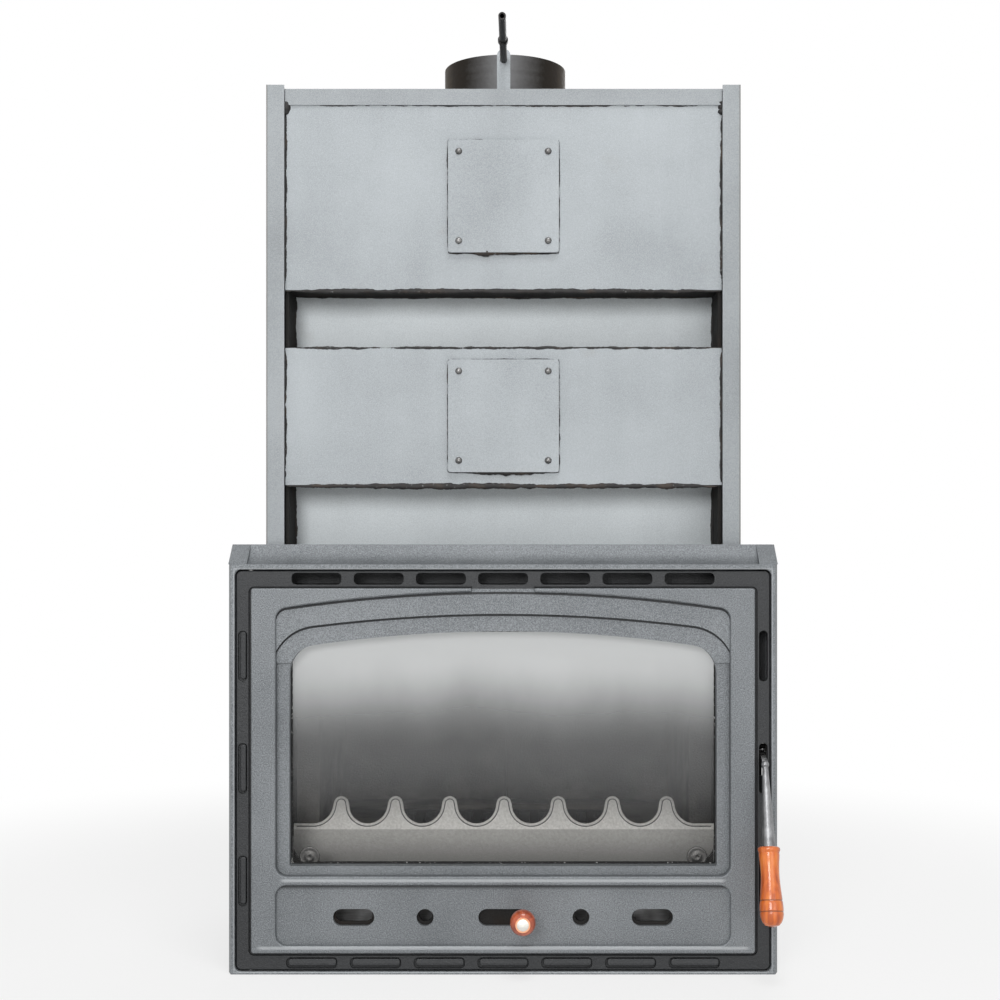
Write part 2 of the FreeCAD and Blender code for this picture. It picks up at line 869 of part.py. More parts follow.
def clip_screws():
    """Screws of the glass clips."""
    top = glass_back + clip_thickness
    solids = []
    for x, z in clip_places():
        solids.append(fused([rod_y(x, z, clip_head_r, top, top + clip_head),
                             rod_y(x, z, clip_screw_r, seat_depth, top)]))
    return group(solids)


def door_rope():
    """Rope seal that meets the firebox front plate."""
    return rope_ring(rib_depth - rope_channel_depth, plate_front - seat_gap, seat_gap)


def register_guides():
    """Two rails that hold the register plate against the door."""
    solids = []
    for side in (-1, 1):
        near = register_half_height + seat_gap
        far = near + guide_height
        lip = register_half_height - guide_lip
        lip_front = register_back + seat_gap
        heights = sorted((air_z + side * near, air_z + side * far))
        lip_heights = sorted((air_z + side * lip, air_z + side * far))
        rail = block(-panel_half, panel_half, door_back, lip_front, heights[0], heights[1])
        keeper = block(-panel_half, panel_half, lip_front, lip_front + guide_lip_thickness,
                       lip_heights[0], lip_heights[1])
        solids.append(fused([rail, keeper]))
    return group(solids)


def register_plate():
    """Sliding plate that opens and closes the air holes."""
    reach = air_oblong_x + air_oblong_length / 2 + register_margin
    slab = block(-reach, reach + register_travel - register_margin / 2, register_depth, register_back,
                 air_z - register_half_height, air_z + register_half_height)
    cuts = air_holes(register_hole_height, register_hole_rise, register_depth - overrun,
                     register_back + overrun)
    cuts.append(rod_y(knob_x, air_z, knob_rod_r + press_clearance, register_depth - overrun,
                      register_back + overrun))
    return slab.cut(cuts)


def knob_rod():
    """Rod from the register plate to the knob."""
    return rod_y(knob_x, air_z, knob_rod_r, knob_back - knob_length / 2, register_back)


def knob():
    """Turned wooden knob with a waisted back."""
    neck = knob_r * knob_neck_share
    edge = knob_length * knob_edge_share
    points = [
        (0, 0),
        (0, neck),
        (edge, knob_r * (1 + knob_neck_share) / 2),
        (knob_length / 2, knob_r),
        (knob_length - edge / 2, knob_r),
        (knob_length, cap_rim_r),
        (knob_length, 0),
    ]
    solid = turned(points, V(knob_x, front_y + knob_back, air_z), V(0, -1, 0))
    hole = rod_y(knob_x, air_z, knob_rod_r + press_clearance, knob_back - knob_length / 2,
                 knob_back + overrun)
    return solid.cut(hole)


def knob_cap():
    """Metal cap with a ring on the front of the knob."""
    ring = rod_y(knob_x, air_z, cap_rim_r, knob_front - cap_thickness, knob_front)
    return fused([ring, dome(knob_x, air_z, cap_r, cap_dome, knob_front - cap_thickness)])


def bracket_span():
    """Left and right face of the handle bracket, beside the slot."""
    right = column_x - column_slot_width / 2 - bracket_slot_gap
    return right - bracket_width, right


def handle_bracket():
    """Lug on the back of the door that carries the handle pin."""
    x0, x1 = bracket_span()
    lug = block(x0, x1, door_back, door_back + bracket_depth, pivot_z - bracket_half_height,
                pivot_z + bracket_half_height)
    return lug.cut(rod_x(x0 - overrun, x1 + overrun, pivot_depth, pivot_z, pivot_pin_r + press_clearance))


def handle_pivot_pin():
    """Pin that the handle turns on, with its head outside the lever."""
    x0 = bracket_span()[0]
    x1 = lever_x1 + catch_clearance
    pin = rod_x(x0, x1, pivot_depth, pivot_z, pivot_pin_r)
    return fused([pin, rod_x(x1, x1 + pivot_head, pivot_depth, pivot_z, pivot_head_r)])


def grip_line():
    """Start of the tapered shaft and the direction of shaft and grip."""
    lean = math.radians(grip_lean)
    start = V(column_x, front_y + elbow_depth, pivot_z - elbow_drop)
    return start, V(0, -math.sin(lean), -math.cos(lean))


def handle_lever():
    """Steel lever: hook behind the catch, hub, arm through the slot and tapered shaft."""
    hub = rod_x(lever_x0, lever_x1, pivot_depth, pivot_z, lever_hub_r)
    half = lever_arm / 2
    arm = [
        (pivot_depth, pivot_z + half),
        (pivot_depth, pivot_z - half),
        (elbow_depth, pivot_z - elbow_drop - half),
        (elbow_depth, pivot_z - elbow_drop + half),
    ]
    tooth_front = catch_depth + catch_pin_r + catch_clearance
    tooth_back = tooth_front + hook_tooth
    under = catch_z - catch_pin_r - catch_clearance
    hook = [
        (pivot_depth, pivot_z - half),
        (tooth_back, pivot_z - half / 2),
        (tooth_back, catch_z + hook_tooth_rise),
        (tooth_front, catch_z + hook_tooth_rise),
        (tooth_front, under),
        (pivot_depth, under),
    ]
    start, direction = grip_line()
    elbow = Part.makeSphere(half, start)
    shaft = Part.makeCone(shaft_top_r, shaft_bottom_r, shaft_drop, start, direction)
    flats = [profile_along_x(outline, lever_x0, lever_x1) for outline in (arm, hook)]
    pieces = [hub] + flats + [elbow, shaft]
    bore = rod_x(lever_x0 - overrun, lever_x1 + overrun, pivot_depth, pivot_z,
                 pivot_pin_r + turning_clearance)
    return fused(pieces).cut(bore)


def handle_grip():
    """Turned wooden grip with a collar, a waist, a belly and two grooves."""
    start, direction = grip_line()
    points = [
        (0, 0),
        (0, grip_collar_r - grip_groove_depth),
        (grip_groove_width, grip_collar_r),
        (grip_length * grip_collar_share, grip_collar_r),
        (grip_length * grip_waist_share, grip_waist_r),
    ]
    for share in grip_groove_shares:
        before = grip_length * share - grip_groove_width
        radius = grip_belly_r
        points.append((before, radius))
        points.append((before + grip_groove_width / 2, radius - grip_groove_depth))
        points.append((before + grip_groove_width, radius))
    points.append((grip_length - grip_groove_width * 2, grip_end_r + grip_groove_width))
    points.append((grip_length, grip_end_r / 2))
    points.append((grip_length, 0))
    return turned(points, start + direction * shaft_drop, direction)


def base_plate():
    """Floor of the insert inside the jacket."""
    return block(-jacket_in, jacket_in, plate_back + sheet, back_in, 0, plate)


def firebox_front_plate():
    """Front plate with the fire opening and the ash opening."""
    whole = block(-front_plate_half, front_plate_half, plate_front, plate_back, 0, front_plate_top)
    d0 = plate_front - overrun
    d1 = plate_back + overrun
    cuts = [
        rounded_block(-opening_half, opening_half, d0, d1, fire_opening_bottom, opening_top,
                      opening_corner_r),
        block(-ash_opening_half, ash_opening_half, d0, d1, ash_floor_top - seat_gap, ash_opening_top),
    ]
    for x, z in frame_bolt_places():
        cuts.append(rod_y(x, z, frame_bolt_r, d0, d1))
    return whole.cut(cuts)


def side_plate(side):
    """Side plate of the firebox, set back above the front plate."""
    outline = [
        (plate_back, plate),
        (plate_back, front_plate_top),
        (panel_back, front_plate_top),
        (panel_back, cover_bottom),
        (firebox_back, cover_bottom),
        (firebox_back, plate),
    ]
    x0, x1 = sorted((side * side_in, side * side_out))
    return profile_along_x(outline, x0, x1)


def back_plate():
    """Back plate of the firebox."""
    return block(-side_out, side_out, firebox_back, firebox_back + plate, plate, cover_bottom)


def ash_floor():
    """Floor under the ash pan."""
    return block(-side_in, side_in, plate_back, firebox_back, ash_floor_z, ash_floor_top)


def grate_span():
    """Front and back depth of the grate."""
    front, back = brick_span()
    return front + grate_front_margin, back - grate_back_margin


def hearth_plate():
    """Hearth plate with the opening that the grate covers."""
    front, back = grate_span()
    whole = block(-side_in, side_in, plate_back, firebox_back, hearth_z, hearth_top)
    reach = grate_half - grate_support
    return whole.cut(block(-reach, reach, front + grate_support, back - grate_support, hearth_z - overrun,
                           hearth_top + overrun))


def grate():
    """Cast grate with long slots."""
    front, back = grate_span()
    whole = block(-grate_half, grate_half, front, back, hearth_top, hearth_top + grate_thickness)
    pitch = 2 * (grate_half - grate_border) / grate_slot_count
    half = pitch * grate_slot_share / 2
    cuts = []
    for x in spread(grate_slot_count, pitch):
        cuts.append(block(x - half, x + half, front + grate_border, back - grate_border,
                          hearth_top - overrun, hearth_top + grate_thickness + overrun))
    return whole.cut(cuts)


def ash_pan():
    """Sheet tray with a pull on its front."""
    front = plate_back + ash_pan_setback
    back = firebox_back - ash_pan_back_gap
    top = ash_floor_top + ash_pan_height
    tray = block(-ash_pan_half, ash_pan_half, front, back, ash_floor_top, top)
    room = block(-ash_pan_half + ash_pan_wall, ash_pan_half - ash_pan_wall, front + ash_pan_wall,
                 back - ash_pan_wall, ash_floor_top + ash_pan_wall, top + overrun)
    pull = block(-ash_pull_half, ash_pull_half, front - ash_pull_reach, front, top - ash_pull_reach, top)
    return fused([tray.cut(room), pull])


def retainer_edge(depth):
    """Closed outline of the upper retainer: round peaks and valleys joined by straight flanks."""
    stretch = 1 / math.cos(math.radians(retainer_tilt))
    valley = retainer_fold_z + (retainer_valley_z - retainer_fold_z) * stretch
    peak = retainer_fold_z + (retainer_peak_z - retainer_fold_z) * stretch
    half_pitch = retainer_pitch / 2
    y = front_y + depth
    down = V(0, 0, -1)
    rise = peak - valley
    valley_r = retainer_flank_share * (half_pitch ** 2 + rise ** 2) / (2 * rise) - retainer_peak_r
    drop = rise - retainer_peak_r - valley_r
    reach = math.acos((retainer_peak_r + valley_r) / math.hypot(half_pitch, drop))
    lean = reach - math.atan2(drop, half_pitch)
    end_x = side_in - seat_gap
    places = spread(retainer_peaks, retainer_pitch)
    edges = []
    for x in places:
        middle = V(x, y, peak - retainer_peak_r)
        starts = []
        for side in (-1, 1):
            out = V(side * math.cos(lean), 0, math.sin(lean))
            base = V(x + side * half_pitch, y, valley + valley_r)
            start = middle + out * retainer_peak_r
            foot = base - out * valley_r
            bend = (down - out).normalize()
            edges.append(Part.makeLine(start, foot))
            lowest = base + down * valley_r
            edges.append(Part.Arc(foot, base + bend * valley_r, lowest).toShape())
            starts.append(start)
        edges.append(Part.Arc(starts[0], V(x, y, peak), starts[1]).toShape())
    for side in (-1, 1):
        foot = V(side * (places[-1] + half_pitch), y, valley)
        corner = V(side * end_x, y, valley)
        edges.append(Part.makeLine(foot, corner))
        edges.append(Part.makeLine(corner, V(side * end_x, y, retainer_fold_z)))
    edges.append(Part.makeLine(V(-end_x, y, retainer_fold_z), V(end_x, y, retainer_fold_z)))
    return Part.Wire(Part.__sortEdges__(edges))


def log_retainer():
    """Cast log retainer: upright foot and a scalloped head that leans back."""
    end_x = side_in - seat_gap
    foot = block(-end_x, end_x, retainer_depth, retainer_depth + retainer_thickness, hearth_top,
                 retainer_fold_z)
    head = prism(retainer_edge(retainer_depth), retainer_thickness)
    head.rotate(V(0, front_y + retainer_depth, retainer_fold_z), V(1, 0, 0), -retainer_tilt)
    return fused([foot, head])


def brick_span():
    """Front and back depth of the side bricks."""
    front = retainer_depth + retainer_thickness + brick_front_gap
    return front, firebox_back - brick - brick_joint


def side_bricks(side):
    """Two bricks against one side plate."""
    front, back = brick_span()
    middle = (front + back) / 2
    x0, x1 = sorted((side * (side_in - brick), side * side_in))
    first = block(x0, x1, front, middle - brick_joint / 2, hearth_top, brick_top_z)
    second = block(x0, x1, middle + brick_joint / 2, back, hearth_top, brick_top_z)
    return group([first, second])


def back_bricks():
    """Two bricks against the back plate."""
    solids = []
    for x0, x1 in ((-side_in, -brick_joint / 2), (brick_joint / 2, side_in)):
        solids.append(block(x0, x1, firebox_back - brick, firebox_back, hearth_top, brick_top_z))
    return group(solids)


def floor_bricks():
    """Bricks on the hearth plate beside and behind the grate."""
    front, back = brick_span()
    near = grate_half + brick_joint
    far = side_in - brick - brick_joint
    top = hearth_top + floor_brick
    left = block(-far, -near, front, back, hearth_top, top)
    right = block(near, far, front, back, hearth_top, top)
    behind = block(-grate_half, grate_half, grate_span()[1] + brick_joint, back, hearth_top, top)
    return group([left, right, behind])


def baffle_plate():
    """Baffle on top of the bricks, open at the front for the smoke."""
    end_x = side_in - seat_gap
    return block(-end_x, end_x, plate_back + baffle_throat, firebox_back, brick_top_z,
                 brick_top_z + baffle_thickness)


def firebox_ledge():
    """Roof of the firebox in front of the lower neck."""
    return block(-side_in, side_in, plate_back, neck_back, ledge_z, ledge_z + plate)


def lower_neck_plate():
    """Recessed plate below the lower front panel."""
    return block(-side_in, side_in, neck_depth, neck_back, ledge_z + plate, lower_panel_bottom)


def upper_neck_plate():
    """Recessed plate between the two front panels."""
    return block(-side_in, side_in, neck_depth, neck_back, lower_panel_top, upper_panel_bottom)


def chamber_shelves():
    """Plates that join the front panels to the necks."""
    solids = []
    for z in (lower_panel_bottom, lower_panel_top - plate, upper_panel_bottom):
        solids.append(block(-side_in, side_in, panel_back, neck_back, z, z + plate))
    return group(solids)


def hatch_bolt_places(z):
    """Four corners of the bolt square of a hatch."""
    half = hatch_bolt_pitch / 2
    return [(side * half, z + rise * half) for side in (-1, 1) for rise in (-1, 1)]


def front_panel(bottom, top):
    """Front panel with its cleaning opening and bolt holes."""
    z = (bottom + top) / 2 + hatch_rise
    d0 = panel_depth - overrun
    d1 = panel_back + overrun
    half = hatch_opening / 2
    cuts = [rounded_block(-half, half, d0, d1, z - half, z + half, hatch_corner_r)]
    for x, height in hatch_bolt_places(z):
        cuts.append(rod_y(x, height, hatch_bolt_r + press_clearance, d0, d1))
    return block(-panel_plate_half, panel_plate_half, panel_depth, panel_back, bottom, top).cut(cuts)


def hatch_heights():
    """Heights of the two hatches, at the middle of their panels."""
    lower = (lower_panel_bottom + lower_panel_top) / 2 + hatch_rise
    upper = (upper_panel_bottom + upper_panel_top) / 2 + hatch_rise
    return lower, upper


def hatch_slab(z, inset, d0, d1):
    """Plate of the hatch outline with its four bolt holes."""
    half = hatch_width / 2 - inset
    rise = hatch_height / 2 - inset
    slab = rounded_block(-half, half, d0, d1, z - rise, z + rise, hatch_corner_r)
    holes = [rod_y(x, height, hatch_bolt_r + press_clearance, d0 - overrun, d1 + overrun)
             for x, height in hatch_bolt_places(z)]
    return slab.cut(holes)


def hatch_cover(z):
    """Cover plate of one hatch."""
    back = panel_depth - gasket
    return hatch_slab(z, 0, back - hatch_thickness, back)


def hatch_gaskets():
    """Gaskets under both hatch covers."""
    half = hatch_opening / 2
    solids = []
    for z in hatch_heights():
        slab = hatch_slab(z, gasket_inset, panel_depth - gasket, panel_depth)
        solids.append(slab.cut(block(-half, half, 0, panel_back, z - half, z + half)))
    return group(solids)


def hatch_bolts():
    """Dome-headed bolts of both hatches."""
    seat = panel_depth - gasket - hatch_thickness
    solids = []
    for z in hatch_heights():
        for x, height in hatch_bolt_places(z):
            solids.append(bolt(x, height, hatch_bolt_r, hatch_head_r, hatch_head, seat, panel_back + plate))
    return group(solids)


def inner_top_plate():
    """Roof of the smoke chamber with the flue hole."""
    whole = block(-side_in, side_in, panel_back, firebox_back, upper_panel_top - plate, upper_panel_top)
    hole = rod_z(0, flue_depth, upper_panel_top - plate - overrun, upper_panel_top + overrun,
                 flue_r - flue_wall)
    return whole.cut(hole)


def side_jacket(side):
    """Side sheet of the jacket with its front flange."""
    x0, x1 = sorted((side * jacket_in, side * body_half))
    f0, f1 = sorted((side * (body_half - jacket_flange), side * body_half))
    wall = block(x0, x1, plate_back, overall_depth, 0, jacket_top)
    flange = block(f0, f1, plate_back, plate_back + sheet, 0, jacket_top)
    return fused([wall, flange])


def back_jacket():
    """Back sheet of the jacket."""
    return block(-jacket_in, jacket_in, back_in, overall_depth, 0, cover_bottom)


def top_cover():
    """Top sheet with a folded front lip and the hole for the flue collar."""
    front = panel_depth - sheet
    lip_half = body_half - jacket_flange - seat_gap
    roof = block(-jacket_in, jacket_in, front, overall_depth, cover_bottom, body_top)
    lip = block(-lip_half, lip_half, front, panel_depth, body_top - top_lip, body_top)
    hole = rod_z(0, flue_depth, cover_bottom - overrun, body_top + overrun, flue_r + flue_swage + seat_gap)
    screw_hole = rod_z(0, bracket_screw_depth, cover_bottom - overrun, body_top + overrun,
                       bracket_screw_r + press_clearance)
    return fused([roof, lip]).cut([hole, screw_hole])


def flue_collar():
    """Flue collar whose upper end is swaged to the pipe size."""
    lower = rod_z(0, flue_depth, upper_panel_top, spigot_bottom, flue_r + flue_swage)
    upper = rod_z(0, flue_depth, spigot_bottom, flue_top, flue_r)
    bore = rod_z(0, flue_depth, upper_panel_top - overrun, flue_top + overrun, flue_r - flue_wall)
    reach = flue_r + flue_swage + overrun
    axle_hole = rod_y(0, axle_z, axle_r + turning_clearance, flue_depth - reach, flue_depth + reach)
    return fused([lower, upper]).cut([bore, axle_hole])


def damper_bracket():
    """Strip that carries the front of the damper axle."""
    back = bracket_strip_depth + bracket_strip_thickness
    half = bracket_strip / 2
    strip = block(-half, half, bracket_strip_depth, back, body_top, bracket_strip_top - half)
    head = rod_y(0, bracket_strip_top - half, half, bracket_strip_depth, back)
    foot = block(-half, half, back, back + bracket_foot, body_top, body_top + bracket_strip_thickness)
    hole = rod_y(0, axle_z, axle_r + turning_clearance, bracket_strip_depth - overrun, back + overrun)
    screw_hole = rod_z(0, bracket_screw_depth, body_top - overrun,
                       body_top + bracket_strip_thickness + overrun, bracket_screw_r + press_clearance)
    return fused([strip, head, foot]).cut([hole, screw_hole])


def bracket_screw():
    """Screw through the foot of the bracket."""
    top = body_top + bracket_strip_thickness
    shank = rod_z(0, bracket_screw_depth, cover_bottom - bracket_screw_head, top, bracket_screw_r)
    head = rod_z(0, bracket_screw_depth, top, top + bracket_screw_head, bracket_screw_head_r)
    return fused([shank, head])


def damper_screw_depths():
    """Depths of the two screws that hold the disc to its axle."""
    return [flue_depth + side * disc_r * damper_screw_share for side in (-1, 1)]


def damper_axle():
    """Axle of the damper with a socket in its front end."""
    tail = flue_depth + flue_r + flue_swage + axle_tail
    rod = rod_y(0, axle_z, axle_r, -axle_reach, tail)
    bump = -axle_reach + (bracket_strip_depth + axle_reach) * axle_bump_share
    ring = rod_y(0, axle_z, axle_bump_r, bump, bump + axle_bump_width)
    cuts = [rod_y(0, axle_z, axle_bore_r, -axle_reach - overrun, -axle_reach + axle_bore_length)]
    for depth in damper_screw_depths():
        cuts.append(rod_z(0, depth, disc_top - overrun, axle_z, damper_screw_r + press_clearance))
    return fused([rod, ring]).cut(cuts)


def damper_disc():
    """Butterfly disc under the axle, with a hole that always lets some smoke pass."""
    disc = rod_z(0, flue_depth, disc_top - disc_thickness, disc_top, disc_r)
    cuts = [rod_z(disc_r * disc_cut_share, flue_depth, disc_top - disc_thickness - overrun,
                  disc_top + overrun, disc_cut_r)]
    for depth in damper_screw_depths():
        cuts.append(rod_z(0, depth, disc_top - disc_thickness - overrun, disc_top + overrun,
                          damper_screw_r + press_clearance))
    return disc.cut(cuts)


def damper_screws():
    """Screws that hold the disc to the axle."""
    bottom = disc_top - disc_thickness
    solids = []
    for depth in damper_screw_depths():
        head = rod_z(0, depth, bottom - damper_screw_head, bottom, damper_screw_head_r)
        shank = rod_z(0, depth, bottom, axle_z, damper_screw_r)
        solids.append(fused([head, shank]))
    return group(solids)


def nodes():
    """All pieces by name."""
    lower_z, upper_z = hatch_heights()
    return {
        "surround_frame": surround_frame(),
        "frame_bolts": frame_bolts(),
        "hinge_pins": hinge_pins(),
        "latch_catch": latch_catch(),
        "door_casting": door_casting(),
        "door_glass": glass(),
        "glass_rope": glass_rope(),
        "glass_clips": glass_clips(),
        "clip_screws": clip_screws(),
        "door_rope": door_rope(),
        "register_guides": register_guides(),
        "register_plate": register_plate(),
        "knob_rod": knob_rod(),
        "air_knob": knob(),
        "knob_cap": knob_cap(),
        "handle_bracket": handle_bracket(),
        "handle_pivot_pin": handle_pivot_pin(),
        "handle_lever": handle_lever(),
        "handle_grip": handle_grip(),
        "base_plate": base_plate(),
        "firebox_front_plate": firebox_front_plate(),
        "left_side_plate": side_plate(-1),
        "right_side_plate": side_plate(1),
        "back_plate": back_plate(),
        "ash_floor": ash_floor(),
        "hearth_plate": hearth_plate(),
        "grate": grate(),
        "ash_pan": ash_pan(),
        "log_retainer": log_retainer(),
        "left_side_bricks": side_bricks(-1),
        "right_side_bricks": side_bricks(1),
        "back_bricks": back_bricks(),
        "floor_bricks": floor_bricks(),
        "baffle_plate": baffle_plate(),
        "firebox_ledge": firebox_ledge(),
        "lower_neck_plate": lower_neck_plate(),
        "upper_neck_plate": upper_neck_plate(),
        "chamber_shelves": chamber_shelves(),
        "lower_front_panel": front_panel(lower_panel_bottom, lower_panel_top),
        "upper_front_panel": front_panel(upper_panel_bottom, upper_panel_top),
        "lower_hatch_cover": hatch_cover(lower_z),
        "upper_hatch_cover": hatch_cover(upper_z),
        "hatch_gaskets": hatch_gaskets(),
        "hatch_bolts": hatch_bolts(),
        "inner_top_plate": inner_top_plate(),
        "left_jacket": side_jacket(-1),
        "right_jacket": side_jacket(1),
        "back_jacket": back_jacket(),
        "top_cover": top_cover(),
        "flue_collar": flue_collar(),
        "damper_bracket": damper_bracket(),
        "bracket_screw": bracket_screw(),
        "damper_axle": damper_axle(),
        "damper_disc": damper_disc(),
        "damper_screws": damper_screws(),
    }


os.makedirs("parts", exist_ok=True)
for name, shape in nodes().items():
    print(name, len(shape.Solids), shape.isValid(), round(shape.Volume))
    shape.exportStep("parts/" + name + ".step")
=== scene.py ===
"""Looks of a fireplace insert: a cast front with a glazed door, a sheet body and a flue collar."""
from __future__ import annotations

import json
import logging
import math
from dataclasses import dataclass, field
from enum import Enum
from functools import partialmethod

import bmesh
import bpy
import numpy as np
from bpy.types import Material, Node, NodeSocket, NodeTree, Object
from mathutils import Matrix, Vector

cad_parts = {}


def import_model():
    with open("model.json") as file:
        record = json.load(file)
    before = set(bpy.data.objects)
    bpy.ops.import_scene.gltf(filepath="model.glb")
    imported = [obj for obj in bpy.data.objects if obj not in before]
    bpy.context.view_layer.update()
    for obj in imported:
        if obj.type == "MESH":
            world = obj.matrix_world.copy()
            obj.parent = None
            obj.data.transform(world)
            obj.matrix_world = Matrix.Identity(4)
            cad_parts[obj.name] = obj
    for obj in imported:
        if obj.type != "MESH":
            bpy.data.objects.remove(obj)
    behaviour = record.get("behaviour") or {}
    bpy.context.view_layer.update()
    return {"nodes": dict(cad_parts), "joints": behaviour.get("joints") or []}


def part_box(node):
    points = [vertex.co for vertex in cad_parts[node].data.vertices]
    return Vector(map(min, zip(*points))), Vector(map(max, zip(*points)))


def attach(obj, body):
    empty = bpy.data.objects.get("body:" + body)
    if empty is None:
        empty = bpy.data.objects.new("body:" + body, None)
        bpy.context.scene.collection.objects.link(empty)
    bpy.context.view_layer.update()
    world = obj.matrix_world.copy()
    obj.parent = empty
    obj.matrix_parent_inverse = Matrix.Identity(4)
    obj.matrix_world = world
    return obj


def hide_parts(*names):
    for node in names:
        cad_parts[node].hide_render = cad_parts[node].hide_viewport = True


log = logging.getLogger("fireplace_insert")

Colour = tuple[float, float, float]
Point = tuple[float, float, float]

MM = 0.001
SAME_POINT = 1.0e-7
BACKWARDS: Point = (0.0, 1.0, 0.0)
EVEN: Point = (1.0, 1.0, 1.0)

# Raised ring of the door casting, its face and the bar over the air panel, measured from the casting's box.
RING_SIDE = 0.0165
RING_FOOT = 0.0186
RING_HEAD = 0.0187
RING_FACE = 0.004
BAR_RISE = 0.0927

# Black for painted shade on cast and steel, pale paint for highlights painted on cast crests, and the
# retainer's shaded tone.
SHADE_BLACK: Colour = (0.012, 0.012, 0.012)
PAINTED_SHADE: Colour = (0.012, 0.012, 0.013)
PAINTED_HIGHLIGHT: Colour = (0.5, 0.52, 0.535)
SHADED_CAST: Colour = (0.2, 0.196, 0.186)
BRONZE: Colour = (0.8, 0.42, 0.25)
BURNT_WOOD: Colour = (0.05, 0.014, 0.004)
CAST_DARK: Colour = (0.095, 0.104, 0.112)
CAST_LIGHT: Colour = (0.285, 0.302, 0.316)


class Axis(Enum):
    """Direction that a grain or a brushing follows."""

    X = (0.06, 1.0, 1.0)
    Y = (1.0, 0.06, 1.0)
    Z = (1.0, 1.0, 0.06)


@dataclass(frozen=True)
class Value:
    """A shader number on an output socket, whose arithmetic adds Math nodes."""

    tree: NodeTree
    socket: NodeSocket

    def _math(self, operation: str, other: Value | float = 0.0, swapped: bool = False) -> Value:
        """Adds one Math node.

        Args:
            operation: The node's operation.
            other: Right side, or left side when swapped.
            swapped: Whether the sides change places.

        Returns:
            The result.
        """
        node = self.tree.nodes.new("ShaderNodeMath")
        node.operation = operation
        for place, item in enumerate((other, self) if swapped else (self, other)):
            if isinstance(item, Value):
                self.tree.links.new(item.socket, node.inputs[place])
            else:
                node.inputs[place].default_value = item
        return Value(self.tree, node.outputs[0])

    __add__ = partialmethod(_math, "ADD")
    __sub__ = partialmethod(_math, "SUBTRACT")
    __rsub__ = partialmethod(_math, "SUBTRACT", swapped=True)
    __mul__ = partialmethod(_math, "MULTIPLY")
    __abs__ = partialmethod(_math, "ABSOLUTE")
    most = partialmethod(_math, "MAXIMUM")


def seen_share(tree: NodeTree) -> Value:
    """One for rays that show a surface to the camera, straight, mirrored or through glass.

    Args:
        tree: Node tree that it goes into.

    Returns:
        The share.
    """
    path = tree.nodes.new("ShaderNodeLightPath")
    seen = Value(tree, path.outputs["Is Camera Ray"])
    for ray in ("Is Glossy Ray", "Is Transmission Ray"):
        seen = seen.most(Value(tree, path.outputs[ray]))
    return seen


